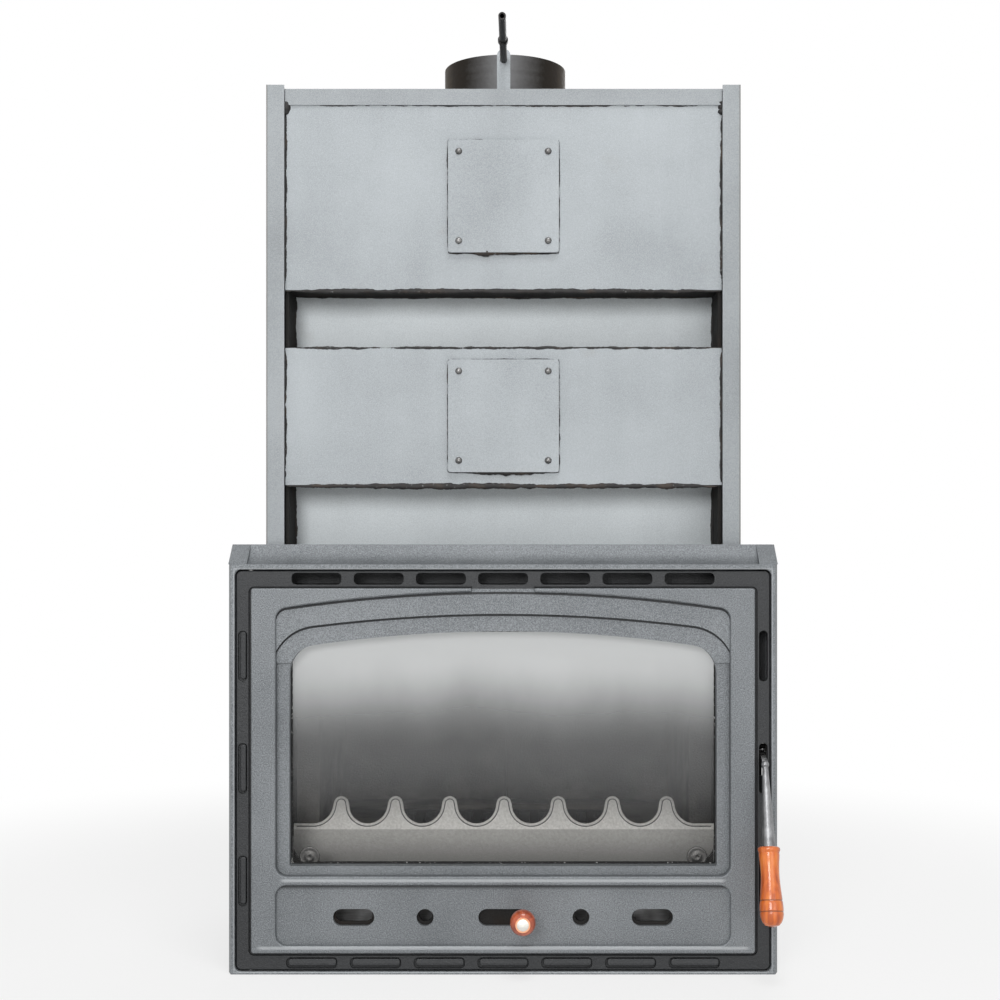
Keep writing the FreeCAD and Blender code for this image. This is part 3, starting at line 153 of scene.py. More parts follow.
class Paint:
    """A material under construction, with one Principled shader."""

    def __init__(self, name: str) -> None:
        """Starts an empty material.

        Args:
            name: Name of the finish.
        """
        self.material = bpy.data.materials.new(name)
        self.material.use_nodes = True
        self.tree = self.material.node_tree
        self.tree.nodes.clear()
        self.output = self.tree.nodes.new("ShaderNodeOutputMaterial")
        self.shader = self.tree.nodes.new("ShaderNodeBsdfPrincipled")
        self.tree.links.new(self.shader.outputs[0], self.output.inputs[0])
        self.place = self.node("ShaderNodeTexCoord", {}).outputs["Object"]

    def node(self, kind: str, inputs: dict, **settings: str) -> Node:
        """Adds a node.

        Args:
            kind: Node type.
            inputs: Constants or links by socket name or number.
            settings: Attributes, which are set first.

        Returns:
            The node.
        """
        node = self.tree.nodes.new(kind)
        for key, setting in settings.items():
            setattr(node, key, setting)
        for key, item in inputs.items():
            self.feed(node.inputs[key], item)
        return node

    def feed(self, socket: NodeSocket, item: object) -> None:
        """Links a value or a socket to an input, or sets a constant on it.

        Args:
            socket: The input.
            item: Value, output socket, number or colour.
        """
        if isinstance(item, Value):
            self.tree.links.new(item.socket, socket)
        elif isinstance(item, NodeSocket):
            self.tree.links.new(item, socket)
        elif socket.type == "RGBA":
            socket.default_value = (*item, 1.0)
        else:
            socket.default_value = item

    def number(self, kind: str, inputs: dict, output: int | str = 0, **settings: str) -> Value:
        """Adds a node and takes one of its outputs as a number."""
        return Value(self.tree, self.node(kind, inputs, **settings).outputs[output])

    def axis(self, name: str) -> Value:
        """One object coordinate, in metres."""
        return self.number("ShaderNodeSeparateXYZ", {"Vector": self.place}, name)

    def stretched(self, stretch: Point) -> NodeSocket:
        """Object coordinates scaled along each axis."""
        return self.node("ShaderNodeMapping", {"Vector": self.place, "Scale": stretch}).outputs[0]

    def noise(self, scale: float, detail: float = 2.0, stretch: Point = EVEN) -> Value:
        """Cloudy noise between 0 and 1, with scale features per metre and detail octaves."""
        inputs = {"Vector": self.stretched(stretch), "Scale": scale, "Detail": detail}
        return self.number("ShaderNodeTexNoise", inputs)

    def cells(self, scale: float, stretch: Point = EVEN) -> Value:
        """Distance to the nearest point of a random cloud, with scale cells per metre."""
        inputs = {"Vector": self.stretched(stretch), "Scale": scale}
        return self.number("ShaderNodeTexVoronoi", inputs, "Distance")

    def band(self, value: Value, low: float, high: float) -> Value:
        """Smooth step of a value, from 0 at low to 1 at high."""
        inputs = {"Value": value, "From Min": low, "From Max": high}
        return self.number("ShaderNodeMapRange", inputs, interpolation_type="SMOOTHSTEP")

    def fade(self, value: Value, low: float, high: float) -> Value:
        """Smooth step of a value, from 1 at low to 0 at high."""
        return 1.0 - self.band(value, low, high)

    def blend(self, share: Value, first: object, second: object) -> NodeSocket:
        """Mix of two colours, by the share of the second one."""
        node = self.node("ShaderNodeMix", {0: share, 6: first, 7: second}, data_type="RGBA")
        return node.outputs[2]

    def ramp(self, value: Value, stops: list[tuple[float, Colour]]) -> NodeSocket:
        """Colour picked from a ramp.

        Args:
            value: Place on the ramp.
            stops: Position and colour of each stop.

        Returns:
            The colour output.
        """
        node = self.node("ShaderNodeValToRGB", {0: value})
        elements = node.color_ramp.elements
        while len(elements) < len(stops):
            elements.new(1.0)
        for element, (position, colour) in zip(elements, stops):
            element.position = position
            element.color = (*colour, 1.0)
        return node.outputs[0]

    def bump(self, height: Value, depth: float) -> None:
        """Feeds the shader's normal from a height of 0 to 1, over a relief of depth metres."""
        node = self.node("ShaderNodeBump", {"Strength": 1.0, "Distance": depth, "Height": height})
        self.tree.links.new(node.outputs[0], self.shader.inputs["Normal"])

    def finish(self, **inputs: object) -> Material:
        """Sets the shader's inputs.

        Args:
            inputs: Constants or links, with underscores for the spaces in the names.

        Returns:
            The finished material.
        """
        for key, item in inputs.items():
            self.feed(self.shader.inputs[key.replace("_", " ")], item)
        return self.material


@dataclass(frozen=True)
class Outline:
    """Upright rectangle on the cast front, and the depth of the face that it lies in."""

    half: float
    low: float
    high: float
    face: float

    def outside(self, paint: Paint) -> Value:
        """Distance out of the rectangle in metres, negative inside it, for a material."""
        height = paint.axis("Z")
        return (abs(paint.axis("X")) - self.half).most(self.low - height).most(height - self.high)


@dataclass(frozen=True)
class Grooves(Outline):
    """Grooves in the door casting with painted shade, and crests with painted highlights."""

    bar: float
    # Strength of the painted shade, and of the highlights painted on the crests.
    shade_strength: float = 0.88
    highlight_strength: float = 0.58
    pad_highlight: float = 0.7
    pad_drop: float = 0.0094
    bar_crest: float = 0.0055
    bar_inset: float = 0.03
    sill_crest: float = 0.0062
    sill_inset: float = 0.004
    crest_end: float = 0.008

    def shade(self, paint: Paint) -> Value:
        """Share of painted shade: the groove floors by their depth, the moat outside the raised ring and
        its rim.

        Args:
            paint: Material that it goes into.

        Returns:
            Zero on the open faces, most in the grooves.
        """
        depth = paint.axis("Y") - self.face
        above = paint.axis("Z") - self.bar
        outside = self.outside(paint)
        # Painted shade where shade falls: the moat, the groove lines, under the bar and along the ring's
        # rim.
        moat = paint.band(depth, 0.0003, 0.0016) * paint.band(outside, -0.0006, 0.0)
        ring_line = paint.band(depth, 0.0011, 0.0015) * paint.fade(depth, 0.0021, 0.0026)
        band_line = paint.band(depth, 0.0036, 0.0042) * paint.fade(depth, 0.0051, 0.0057)
        lines = ring_line.most(band_line) * paint.band(above, 0.002, 0.004)
        under_bar = paint.band(above, -0.0065, -0.001) * paint.fade(above, 0.0, 0.001)
        under_bar = under_bar * paint.band(depth, 0.0006, 0.0009)
        rim = paint.band(outside, -0.0014, -0.0004) * paint.band(depth, -0.0038, -0.0028)
        return moat.most(lines).most(under_bar).most(rim) * self.shade_strength

    def painted_highlight(self, paint: Paint) -> Value:
        """Share of painted highlight: the crests of the bars above and below the air panel, and of the
        pads.

        Args:
            paint: Material that it goes into.

        Returns:
            Most along the crests, zero elsewhere.
        """
        height = paint.axis("Z")
        aside = abs(paint.axis("X"))
        raised = paint.fade(paint.axis("Y") - self.face, -0.0006, -0.0002)
        # Painted highlights along the tops of the pads and along the crests of the two bars.
        pads = paint.fade(abs(height - (self.low - self.pad_drop)), 0.0004, 0.0028)
        highlight_share = pads * raised * self.pad_highlight
        bars = ((self.bar + self.bar_crest, self.half - self.bar_inset),
                (self.low + self.sill_crest, self.half - self.sill_inset))
        for middle, end in bars:
            crest = paint.fade(abs(height - middle), 0.0006, 0.0026)
            highlight_share = highlight_share.most(crest * paint.fade(aside, end - self.crest_end, end))
        return highlight_share * self.highlight_strength


@dataclass(frozen=True)
class Opening(Outline):
    """Opening of the cast frame: painted shade on walls behind the door, painted highlight on the front
    edge.
    """

    # Strength of the painted shade on the walls, and of the highlight painted on the edge.
    shade_strength: float = 0.9
    highlight_strength: float = 0.35
    edge: float = 0.0022

    def shade(self, paint: Paint) -> Value:
        """Share of painted shade: the walls of the opening, from just behind its front edge."""
        inside = paint.fade(self.outside(paint), 0.0005, 0.0015)
        return inside * paint.band(paint.axis("Y"), self.face + 0.004, self.face + 0.009) * self.shade_strength

    def painted_highlight(self, paint: Paint) -> Value:
        """Share of painted highlight: the front edge just outside the opening."""
        edge = paint.fade(abs(self.outside(paint) - self.edge), 0.0004, 0.0012)
        return edge * paint.fade(paint.axis("Y"), self.face + 0.001, self.face + 0.002) * self.highlight_strength


@dataclass(frozen=True)
class CastPaint:
    """Stove paint over a sand casting: pebbled relief, flakes, painted shade in grooves, painted crest
    highlights.
    """

    name: str
    colour: Colour
    light: Colour
    pebble: float = 820.0
    relief: float = 0.0006
    metallic: float = 0.35
    roughness: float = 0.5
    shade_below: tuple[float, float] | None = None
    grooves: Grooves | Opening | None = None

    def build(self) -> Material:
        """Makes the material, with painted shade below a height where the finish gives one."""
        paint = Paint(self.name)
        pebbles = paint.noise(self.pebble, 3.0)
        coarse = paint.noise(self.pebble * 0.35, 2.0)
        flakes = paint.cells(2600.0)
        clouds = paint.noise(9.0, 3.0)
        tone = paint.band(pebbles * 0.75 + flakes * 0.32 + clouds * 0.3, 0.46, 0.97)
        paint.bump(pebbles * 0.7 + coarse * 0.5, self.relief)
        colour = paint.blend(tone, self.colour, self.light)
        # Painted shade: below the fold the part stands upright and is painted darker than its tilted head.
        if self.shade_below:
            low, high = self.shade_below
            height = paint.axis("Z")
            fall = paint.band(height, low, high) * 0.5 + paint.band(height, high, high + 0.0015) * 0.5
            colour = paint.blend(fall, SHADED_CAST, colour)
        if self.grooves:
            # Painted highlights on the crests, then painted shade in the grooves and hollows.
            colour = paint.blend(self.grooves.painted_highlight(paint), colour, PAINTED_HIGHLIGHT)
            colour = paint.blend(self.grooves.shade(paint), colour, PAINTED_SHADE)
        roughness = paint.band(clouds + flakes * 0.3, 0.2, 1.1) * 0.22 + (self.roughness - 0.1)
        return paint.finish(Base_Color=colour, Metallic=self.metallic, Roughness=roughness)


@dataclass(frozen=True)
class SheetPaint:
    """Silver stove paint on sheet: fine flakes, soft clouds, runs, stains and painted shade on upright
    edges.
    """

    name: str
    colour: Colour
    light: Colour
    stain: Colour
    stain_level: float = 0.66
    metallic: float = 0.1
    roughness: float = 0.58
    gloss: float = 0.5
    edge: float | None = None
    edge_back: float = 0.0
    edge_shade_colour: Colour = (0.1, 0.088, 0.075)

    def build(self) -> Material:
        """Makes the material."""
        paint = Paint(self.name)
        flakes = paint.cells(1900.0)
        grain = paint.noise(1100.0, 2.0)
        clouds = paint.noise(6.0, 4.0)
        runs = paint.noise(30.0, 3.0, Axis.Z.value)
        patches = paint.noise(16.0, 5.0)
        tone = paint.band(flakes * 0.55 + grain * 0.55 + clouds * 0.8 + runs * 0.15, 0.55, 1.4)
        marks = paint.band(patches, self.stain_level, self.stain_level + 0.16) * 0.45
        paint.bump(grain * 0.6 + flakes * 0.4, 0.00012)
        clean = paint.blend(tone, self.colour, self.light)
        # Painted shade along the outer upright edge of the front flange.
        if self.edge is not None:
            edge_shade = paint.band(abs(paint.axis("X")), self.edge - 0.0022, self.edge - 0.0002)
            front = paint.fade(paint.axis("Y"), self.edge_back - 0.002, self.edge_back)
            clean = paint.blend(edge_shade * front * 0.75, clean, self.edge_shade_colour)
        return paint.finish(
            Base_Color=paint.blend(marks, clean, self.stain),
            Metallic=self.metallic,
            Roughness=clouds * 0.2 + (self.roughness - 0.1),
            Specular_IOR_Level=self.gloss,
        )


@dataclass(frozen=True)
class CollarPaint:
    """Semi-gloss paint on the rolled flue collar, with a painted reflection: pale middle, near-black sides,
    brown edges.
    """

    name: str = "collar_paint"

    def build(self) -> Material:
        """Makes the material."""
        paint = Paint(self.name)
        turns = paint.noise(60.0, 3.0, (0.1, 0.1, 3.0))
        dust = paint.noise(220.0, 3.0)
        # Painted reflection and shade across the round collar, by distance from its middle.
        side_shade = abs(paint.axis("X")) * 13.2 + (dust + turns - 1.0) * 0.12
        shade_stops = [(0.1, (0.15, 0.15, 0.153)), (0.4, (0.07, 0.068, 0.067)), (0.62, (0.017, 0.014, 0.011)),
                 (0.82, (0.018, 0.013, 0.009)), (1.0, (0.06, 0.043, 0.026))]
        paint.bump(dust, 0.0002)
        return paint.finish(
            Base_Color=paint.ramp(side_shade, shade_stops),
            Metallic=0.1,
            Roughness=dust * 0.2 + 0.4,
            Specular_IOR_Level=0.12,
        )


@dataclass(frozen=True)
class WornSteel:
    """Bare or plated steel, drawn along one axis, with painted black shade behind a given depth or bronze
    round a hub.
    """

    name: str
    colour: Colour
    dark: Colour
    axis: Axis
    roughness: float = 0.34
    shaded_behind: float | None = None
    hub: tuple[float, float] | None = None
    hub_radius: float = 0.0064

    def build(self) -> Material:
        """Makes the material."""
        paint = Paint(self.name)
        lines = paint.noise(900.0, 2.0, self.axis.value)
        tarnish = paint.noise(60.0, 4.0)
        tone = paint.band(lines * 0.4 + tarnish * 0.7, 0.3, 0.85)
        paint.bump(lines, 0.00006)
        colour = paint.blend(tone, self.dark, self.colour)
        # Painted shade: black behind the given depth, where the part runs into a slot.
        if self.shaded_behind is not None:
            black = paint.band(paint.axis("Y"), self.shaded_behind - 0.006, self.shaded_behind + 0.004)
            colour = paint.blend(black, colour, SHADE_BLACK)
        if self.hub is not None:
            aside = paint.axis("X") - self.hub[0]
            above = paint.axis("Z") - self.hub[1]
            edge = self.hub_radius ** 2
            ring = paint.band(aside * aside + above * above, edge * 0.85, edge * 1.1)
            colour = paint.blend(ring, colour, BRONZE)
        roughness = tarnish * 0.25 + (self.roughness - 0.1)
        return paint.finish(Base_Color=colour, Metallic=0.9, Roughness=roughness)


@dataclass(frozen=True)
class TurnedWood:
    """Varnished turned wood with long grain, pores and dark rings in the grooves."""

    name: str
    pale: Colour
    mid: Colour
    deep: Colour
    axis: Axis
    along: Point = (0.0, 0.0, 1.0)
    rings: tuple[float, ...] = ()

    def build(self) -> Material:
        """Makes the material, with a burnt ring at each given distance along its line."""
        paint = Paint(self.name)
        grain = paint.noise(190.0, 5.0, self.axis.value)
        pores = paint.noise(1500.0, 2.0, self.axis.value)
        clouds = paint.noise(40.0, 2.0)
        tone = paint.band(grain * 0.75 + clouds * 0.3, 0.3, 0.78)
        colour = paint.ramp(tone, [(0.0, self.deep), (0.5, self.mid), (1.0, self.pale)])
        streaks = paint.band(pores, 0.6, 0.72) * 0.35
        paint.bump(pores * 0.6 + grain * 0.4, 0.00008)
        colour = paint.blend(streaks, colour, self.deep)
        place = paint.axis("Y") * self.along[1] + paint.axis("Z") * self.along[2]
        for ring in self.rings:
            burnt = paint.fade(abs(place - ring), 0.0004, 0.0011)
            colour = paint.blend(burnt * 0.55, colour, BURNT_WOOD)
        roughness = pores * 0.12 + 0.26
        return paint.finish(Base_Color=colour, Roughness=roughness, Coat_Weight=0.55, Coat_Roughness=0.12)


@dataclass(frozen=True)
class Firebrick:
    """Matt refractory with pits, dark as painted shade in the unlit firebox, darker upwards with soot and
    painted shade.
    """

    name: str = "firebrick"

    def build(self) -> Material:
        """Makes the material."""
        paint = Paint(self.name)
        pits = paint.noise(420.0, 4.0)
        clouds = paint.noise(14.0, 4.0)
        # Darker upwards: soot, and painted shade inside the firebox.
        darkening = paint.band(clouds + paint.axis("Z") * 0.5, 0.38, 0.72)
        clean = paint.blend(pits, (0.13, 0.12, 0.105), (0.25, 0.235, 0.21))
        paint.bump(pits, 0.0008)
        return paint.finish(Base_Color=paint.blend(darkening, clean, (0.035, 0.033, 0.031)), Roughness=0.92)


@dataclass(frozen=True)
class GlassWithPaintedReflection:
    """Stove glass with a painted reflection that thins from the pale top to nothing over the log retainer.
    """

    name: str
    bottom: float
    top: float

    def build(self) -> Material:
        """Makes the material."""
        paint = Paint(self.name)
        streaks = paint.noise(7.0, 4.0, (1.0, 1.0, 0.5))
        height = paint.axis("Z") + (streaks - 0.5) * 0.05
        span = self.top - self.bottom
        lower_reflection = paint.band(height, self.bottom + span * 0.16, self.bottom + span * 0.55)
        upper_reflection = paint.band(height, self.bottom + span * 0.5, self.top - span * 0.1)
        paint.material.surface_render_method = "BLENDED"
        # The painted reflection also glows through its emission, so no shadow falls on it.
        return paint.finish(
            Base_Color=paint.blend(upper_reflection, (0.15, 0.152, 0.153), (0.4, 0.405, 0.405)),
            Roughness=streaks * 0.06 + 0.04,
            Alpha=lower_reflection * 0.42 + upper_reflection * 0.42 + 0.06,
            Emission_Color=paint.blend(upper_reflection, (0.02, 0.02, 0.02), (0.2, 0.206, 0.206)),
            Emission_Strength=1.0,
            Specular_IOR_Level=0.3,
        )


@dataclass(frozen=True)
class WovenRope:
    """Glass-fibre rope: slanted strands with soiled hollows."""

    name: str
    clean: Colour
    soiled: Colour
    level: float = 0.3
    spread: float = 0.7

    def build(self) -> Material:
        """Makes the material."""
        paint = Paint(self.name)
        strands = paint.cells(520.0, (1.0, 0.6, 1.0))
        fibres = paint.noise(2400.0, 2.0)
        dirt = paint.noise(45.0, 3.0)
        tone = paint.band(strands * 0.8 + dirt * 0.5, self.level, self.level + self.spread)
        paint.bump(strands * 0.8 + fibres * 0.2, 0.0009)
        return paint.finish(Base_Color=paint.blend(tone, self.soiled, self.clean), Roughness=0.95)


@dataclass(frozen=True)
class WeldScale:
    """Dark scale and sealant on a hand-laid seam, with bright beads here and there."""

    name: str = "weld_scale"

    def build(self) -> Material:
        """Makes the material."""
        paint = Paint(self.name)
        beads = paint.noise(260.0, 3.0)
        rust = paint.noise(38.0, 3.0)
        dark = paint.blend(paint.band(rust, 0.5, 0.75), (0.014, 0.013, 0.013), (0.045, 0.032, 0.024))
        paint.bump(beads, 0.0006)
        colour = paint.blend(paint.band(beads, 0.62, 0.78) * 0.6, dark, (0.28, 0.28, 0.28))
        return paint.finish(Base_Color=colour, Metallic=0.2, Roughness=0.62)


def add_object(name: str, data: bpy.types.ID) -> Object:
    """Puts a new object into the scene.

    Args:
        name: Name of the object.
        data: Its mesh, lamp or camera.

    Returns:
        The object.
    """
    item = bpy.data.objects.new(name, data)
    bpy.context.scene.collection.objects.link(item)
    return item


def surface(name: str, points: np.ndarray, closed: bool) -> Object:
    """Makes a smooth mesh object from rings of points: quads between neighbours, and caps on open ends.

    Args:
        name: Name of the piece.
        points: Rings of points, in metres.
        closed: Whether the last ring joins the first.

    Returns:
        The object.
    """
    rings, count = points.shape[:2]
    total = rings * count
    here = np.arange(0, total if closed else total - count, count)[:, None]
    there = (here + count) % total
    step = np.arange(count)
    turn = (step + 1) % count
    quads = np.stack((here + step, here + turn, there + turn, there + step), axis=-1)
    faces = quads.reshape(-1, 4).tolist()
    if not closed:
        faces += [list(range(count)), list(range(total - count, total))]
    mesh = bpy.data.meshes.new(name)
    mesh.from_pydata(points.reshape(-1, 3).tolist(), [], faces)
    shape = bmesh.new()
    shape.from_mesh(mesh)
    bmesh.ops.remove_doubles(shape, verts=shape.verts, dist=SAME_POINT)
    bmesh.ops.recalc_face_normals(shape, faces=shape.faces)
    shape.to_mesh(mesh)
    shape.free()
    mesh.shade_smooth()
    return add_object(name, mesh)


def lathe(name: str, profile: np.ndarray, base: Point, direction: Point, turns: int = 64) -> Object:
    """Turns a profile about a line: each point runs round a circle of its own radius.

    Args:
        name: Name of the piece.
        profile: Rows of distance along the line and radius.
        base: Start of the line.
        direction: Direction of the line.
        turns: Points in a circle.

    Returns:
        The object.
    """
    along = np.array(direction) / np.linalg.norm(direction)
    side = np.cross(along, (1.0, 0.0, 0.0))
    side /= np.linalg.norm(side)
    other = np.cross(along, side)
    angle = np.linspace(0.0, 2.0 * np.pi, turns, endpoint=False)
    ring = np.cos(angle)[:, None] * side + np.sin(angle)[:, None] * other
    points = np.array(base) + profile[:, :1, None] * along + profile[:, 1:, None] * ring[None]
    return surface(name, points, closed=False)


def carry(name: str, path: np.ndarray, section: np.ndarray, up: Point, scale: np.ndarray,
          closed: bool) -> Object:
    """Carries a section along a path: its first axis lies across the path, its second along up.

    Args:
        name: Name of the piece.
        path: Rows of points.
        section: Rows of offsets across and up.
        up: Direction that is square to the whole path.
        scale: Size of the section at each point.
        closed: Whether the path is a loop.

    Returns:
        The object.
    """
    if closed:
        tangent = np.roll(path, -1, axis=0) - np.roll(path, 1, axis=0)
    else:
        tangent = np.gradient(path, axis=0)
    tangent /= np.linalg.norm(tangent, axis=1, keepdims=True)
    lift = np.array(up, dtype=float)
    across = np.cross(tangent, lift)
    offsets = section[None, :, :1] * across[:, None] + section[None, :, 1:] * lift
    return surface(name, path[:, None] + offsets * scale[:, None, None], closed)


def oval(width: float, height: float, count: int) -> np.ndarray:
    """Rows of count points on an ellipse round zero, with a full width and height."""
    angle = np.linspace(0.0, 2.0 * np.pi, count, endpoint=False)
    return np.stack((np.cos(angle) * width / 2.0, np.sin(angle) * height / 2.0), axis=1)


def wander(count: int, seed: int, smooth: int) -> np.ndarray:
    """Seeded random numbers smoothed by a moving mean, scaled to -1 to 1.

    Args:
        count: How many.
        seed: Start of the random draw.
        smooth: Length of the moving mean.

    Returns:
        The numbers.
    """
    draw = np.random.default_rng(seed).normal(size=count + smooth - 1)
    mean = np.convolve(draw, np.ones(smooth) / smooth, mode="valid")
    return mean / np.abs(mean).max()


def turned_profile(knots: tuple[float, ...], radii: tuple[float, ...],
                   count: int) -> tuple[np.ndarray, np.ndarray]:
    """Smooth radius along a turned piece: a cubic through knots, with slopes from both neighbours.

    Args:
        knots: Places of the known radii, from 0 to 1.
        radii: The known radii, in millimetres.
        count: How many places to work out.

    Returns:
        The places from 0 to 1, and the radius at each in metres.
    """
    share = 0.5 - 0.5 * np.cos(np.linspace(0.0, np.pi, count))
    x = np.array(knots)
    y = np.array(radii)
    slope = np.gradient(y, x)
    cell = np.clip(np.searchsorted(x, share, side="right") - 1, 0, len(x) - 2)
    width = x[cell + 1] - x[cell]
    t = (share - x[cell]) / width
    start = (1.0 + 2.0 * t) * (1.0 - t) ** 2 * y[cell] + t * (1.0 - t) ** 2 * width * slope[cell]
    end = t ** 2 * (3.0 - 2.0 * t) * y[cell + 1] - t ** 2 * (1.0 - t) * width * slope[cell + 1]
    return share, (start + end) * MM


def dress(piece: Object, material: Material) -> None:
    """Gives a piece one material."""
    piece.data.materials.clear()
    piece.data.materials.append(material)


def settle(piece: Object, body: str, material: Material) -> None:
    """Dresses a new piece and fixes it to a body.

    Args:
        piece: The piece.
        body: Body that it moves with.
        material: Its finish.
    """
    dress(piece, material)
    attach(piece, body)
    log.info("%s rides on %s", piece.name, body)


@dataclass
class Finishes:
    """All finishes of the insert, and the nodes that take them."""

    grip: TurnedGrip
    made: dict[str, Material] = field(default_factory=dict)

    def build(self, nodes: dict[str, Object]) -> None:
        """Makes every finish and dresses the modelled nodes that take it.

        Args:
            nodes: The frame's nodes by name.
        """
        glass_low, glass_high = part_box("door_glass")
        cap_low, cap_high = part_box("knob_cap")
        hub = ((cap_low[0] + cap_high[0]) / 2.0, (cap_low[2] + cap_high[2]) / 2.0)
        door_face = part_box("surround_frame")[0][1]
        low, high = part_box("door_casting")
        opening = Opening(half=high[0], low=low[2], high=high[2], face=door_face)
        grooves = Grooves(half=high[0] - RING_SIDE, low=low[2] + RING_FOOT, high=high[2] - RING_HEAD,
                          face=low[1] + RING_FACE, bar=low[2] + BAR_RISE)
        jacket_low, jacket_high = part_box("right_jacket")
        grip_line = tuple(self.grip.line()[1].tolist())
        recipes = (
            (CastPaint("cast_grey", CAST_DARK, CAST_LIGHT, grooves=opening), ("surround_frame",)),
            (CastPaint("door_cast", CAST_DARK, CAST_LIGHT, grooves=grooves), ("door_casting",)),
            (CastPaint("pale_cast", (0.62, 0.605, 0.57), (0.88, 0.865, 0.83), pebble=420.0, metallic=0.0,
                       roughness=0.7, shade_below=(0.1, 0.1405)),
             ("log_retainer",)),
            (CastPaint("bare_cast", (0.05, 0.05, 0.052), (0.12, 0.12, 0.122), pebble=500.0, relief=0.0007,
                       metallic=0.4, roughness=0.62),
             ("grate",)),
            (SheetPaint("silver_sheet", (0.213, 0.231, 0.244), (0.435, 0.466, 0.486), (0.27, 0.255, 0.235)),
             ("lower_front_panel", "upper_front_panel", "lower_hatch_cover", "upper_hatch_cover",
              "damper_bracket", "bracket_screw")),
            # A lighter copy of the panel paint for the recessed neck plates: painted light against the
            # shade under the panels.
            (SheetPaint("neck_sheet_painted_light", (0.45, 0.484, 0.5), (0.73, 0.775, 0.795), (0.38, 0.37, 0.35)),
             ("lower_neck_plate", "upper_neck_plate")),
            (SheetPaint("jacket_sheet", (0.178, 0.193, 0.203), (0.373, 0.397, 0.413), (0.23, 0.215, 0.195),
                        edge=jacket_high[0], edge_back=jacket_low[1] + 0.004),
             ("left_jacket", "right_jacket", "back_jacket", "top_cover")),
            (SheetPaint("firebox_paint", (0.17, 0.175, 0.18), (0.33, 0.335, 0.34), (0.12, 0.1, 0.085),
                        stain_level=0.55),
             ("base_plate", "back_plate", "ash_floor", "hearth_plate", "firebox_ledge", "inner_top_plate")),
            # Near-black steel: soot on the firebox plates, and painted shade behind the door's slots and
            # the air holes.
            (SheetPaint("scorched_and_shaded_steel", (0.012, 0.0115, 0.011), (0.035, 0.034, 0.033),
                        (0.03, 0.022, 0.017), stain_level=0.5, metallic=0.0, roughness=0.7, gloss=0.06),
             ("firebox_front_plate", "left_side_plate", "right_side_plate", "register_plate",
              "register_guides", "chamber_shelves")),
            (CollarPaint(), ("flue_collar",)),
            (WornSteel("plated_steel", (0.56, 0.56, 0.57), (0.26, 0.255, 0.25), Axis.X),
             ("frame_bolts", "hinge_pins", "glass_clips", "clip_screws", "knob_rod", "damper_disc",
              "damper_screws", "ash_pan")),
            (WornSteel("washer_steel", (0.17, 0.165, 0.16), (0.08, 0.078, 0.075), Axis.X, 0.5), ()),
            (WornSteel("bolt_steel", (0.34, 0.335, 0.33), (0.07, 0.068, 0.066), Axis.Y, 0.3),
             ("hatch_bolts",)),
            (WornSteel("dark_steel", (0.05, 0.048, 0.046), (0.014, 0.0135, 0.013), Axis.Y, 0.46),
             ("damper_axle", "latch_catch", "handle_bracket", "handle_pivot_pin")),
            (WornSteel("lever_steel", (0.4, 0.405, 0.415), (0.15, 0.15, 0.155), Axis.Z, 0.4,
                       shaded_behind=door_face - 0.002),
             ("handle_lever",)),
            (WornSteel("cap_metal", (0.88, 0.86, 0.82), (0.7, 0.68, 0.63), Axis.X, 0.55, hub=hub),
             ("knob_cap",)),
            (TurnedWood("grip_wood", (0.8, 0.22, 0.028), (0.66, 0.135, 0.014), (0.38, 0.062, 0.007), Axis.Z,
                        grip_line, self.grip.ring_places()),
             ("handle_grip",)),
            (TurnedWood("knob_wood", (0.64, 0.165, 0.065), (0.52, 0.105, 0.038), (0.28, 0.048, 0.018),
                        Axis.Y),
             ("air_knob",)),
            (Firebrick(),
             ("left_side_bricks", "right_side_bricks", "back_bricks", "floor_bricks", "baffle_plate")),
            (GlassWithPaintedReflection("stove_glass", glass_low[2], glass_high[2]), ("door_glass",)),
            (WovenRope("seal_rope", (0.52, 0.5, 0.46), (0.1, 0.095, 0.088)),
             ("hatch_gaskets", "door_rope", "glass_rope")),
            (WovenRope("sooty_rope", (0.36, 0.36, 0.35), (0.006, 0.006, 0.006), level=0.86, spread=0.2),
             ()),
            (WeldScale(), ()),
        )
        for recipe, names in recipes:
            self.made[recipe.name] = recipe.build()
            for name in names:
                dress(nodes[name], self.made[recipe.name])


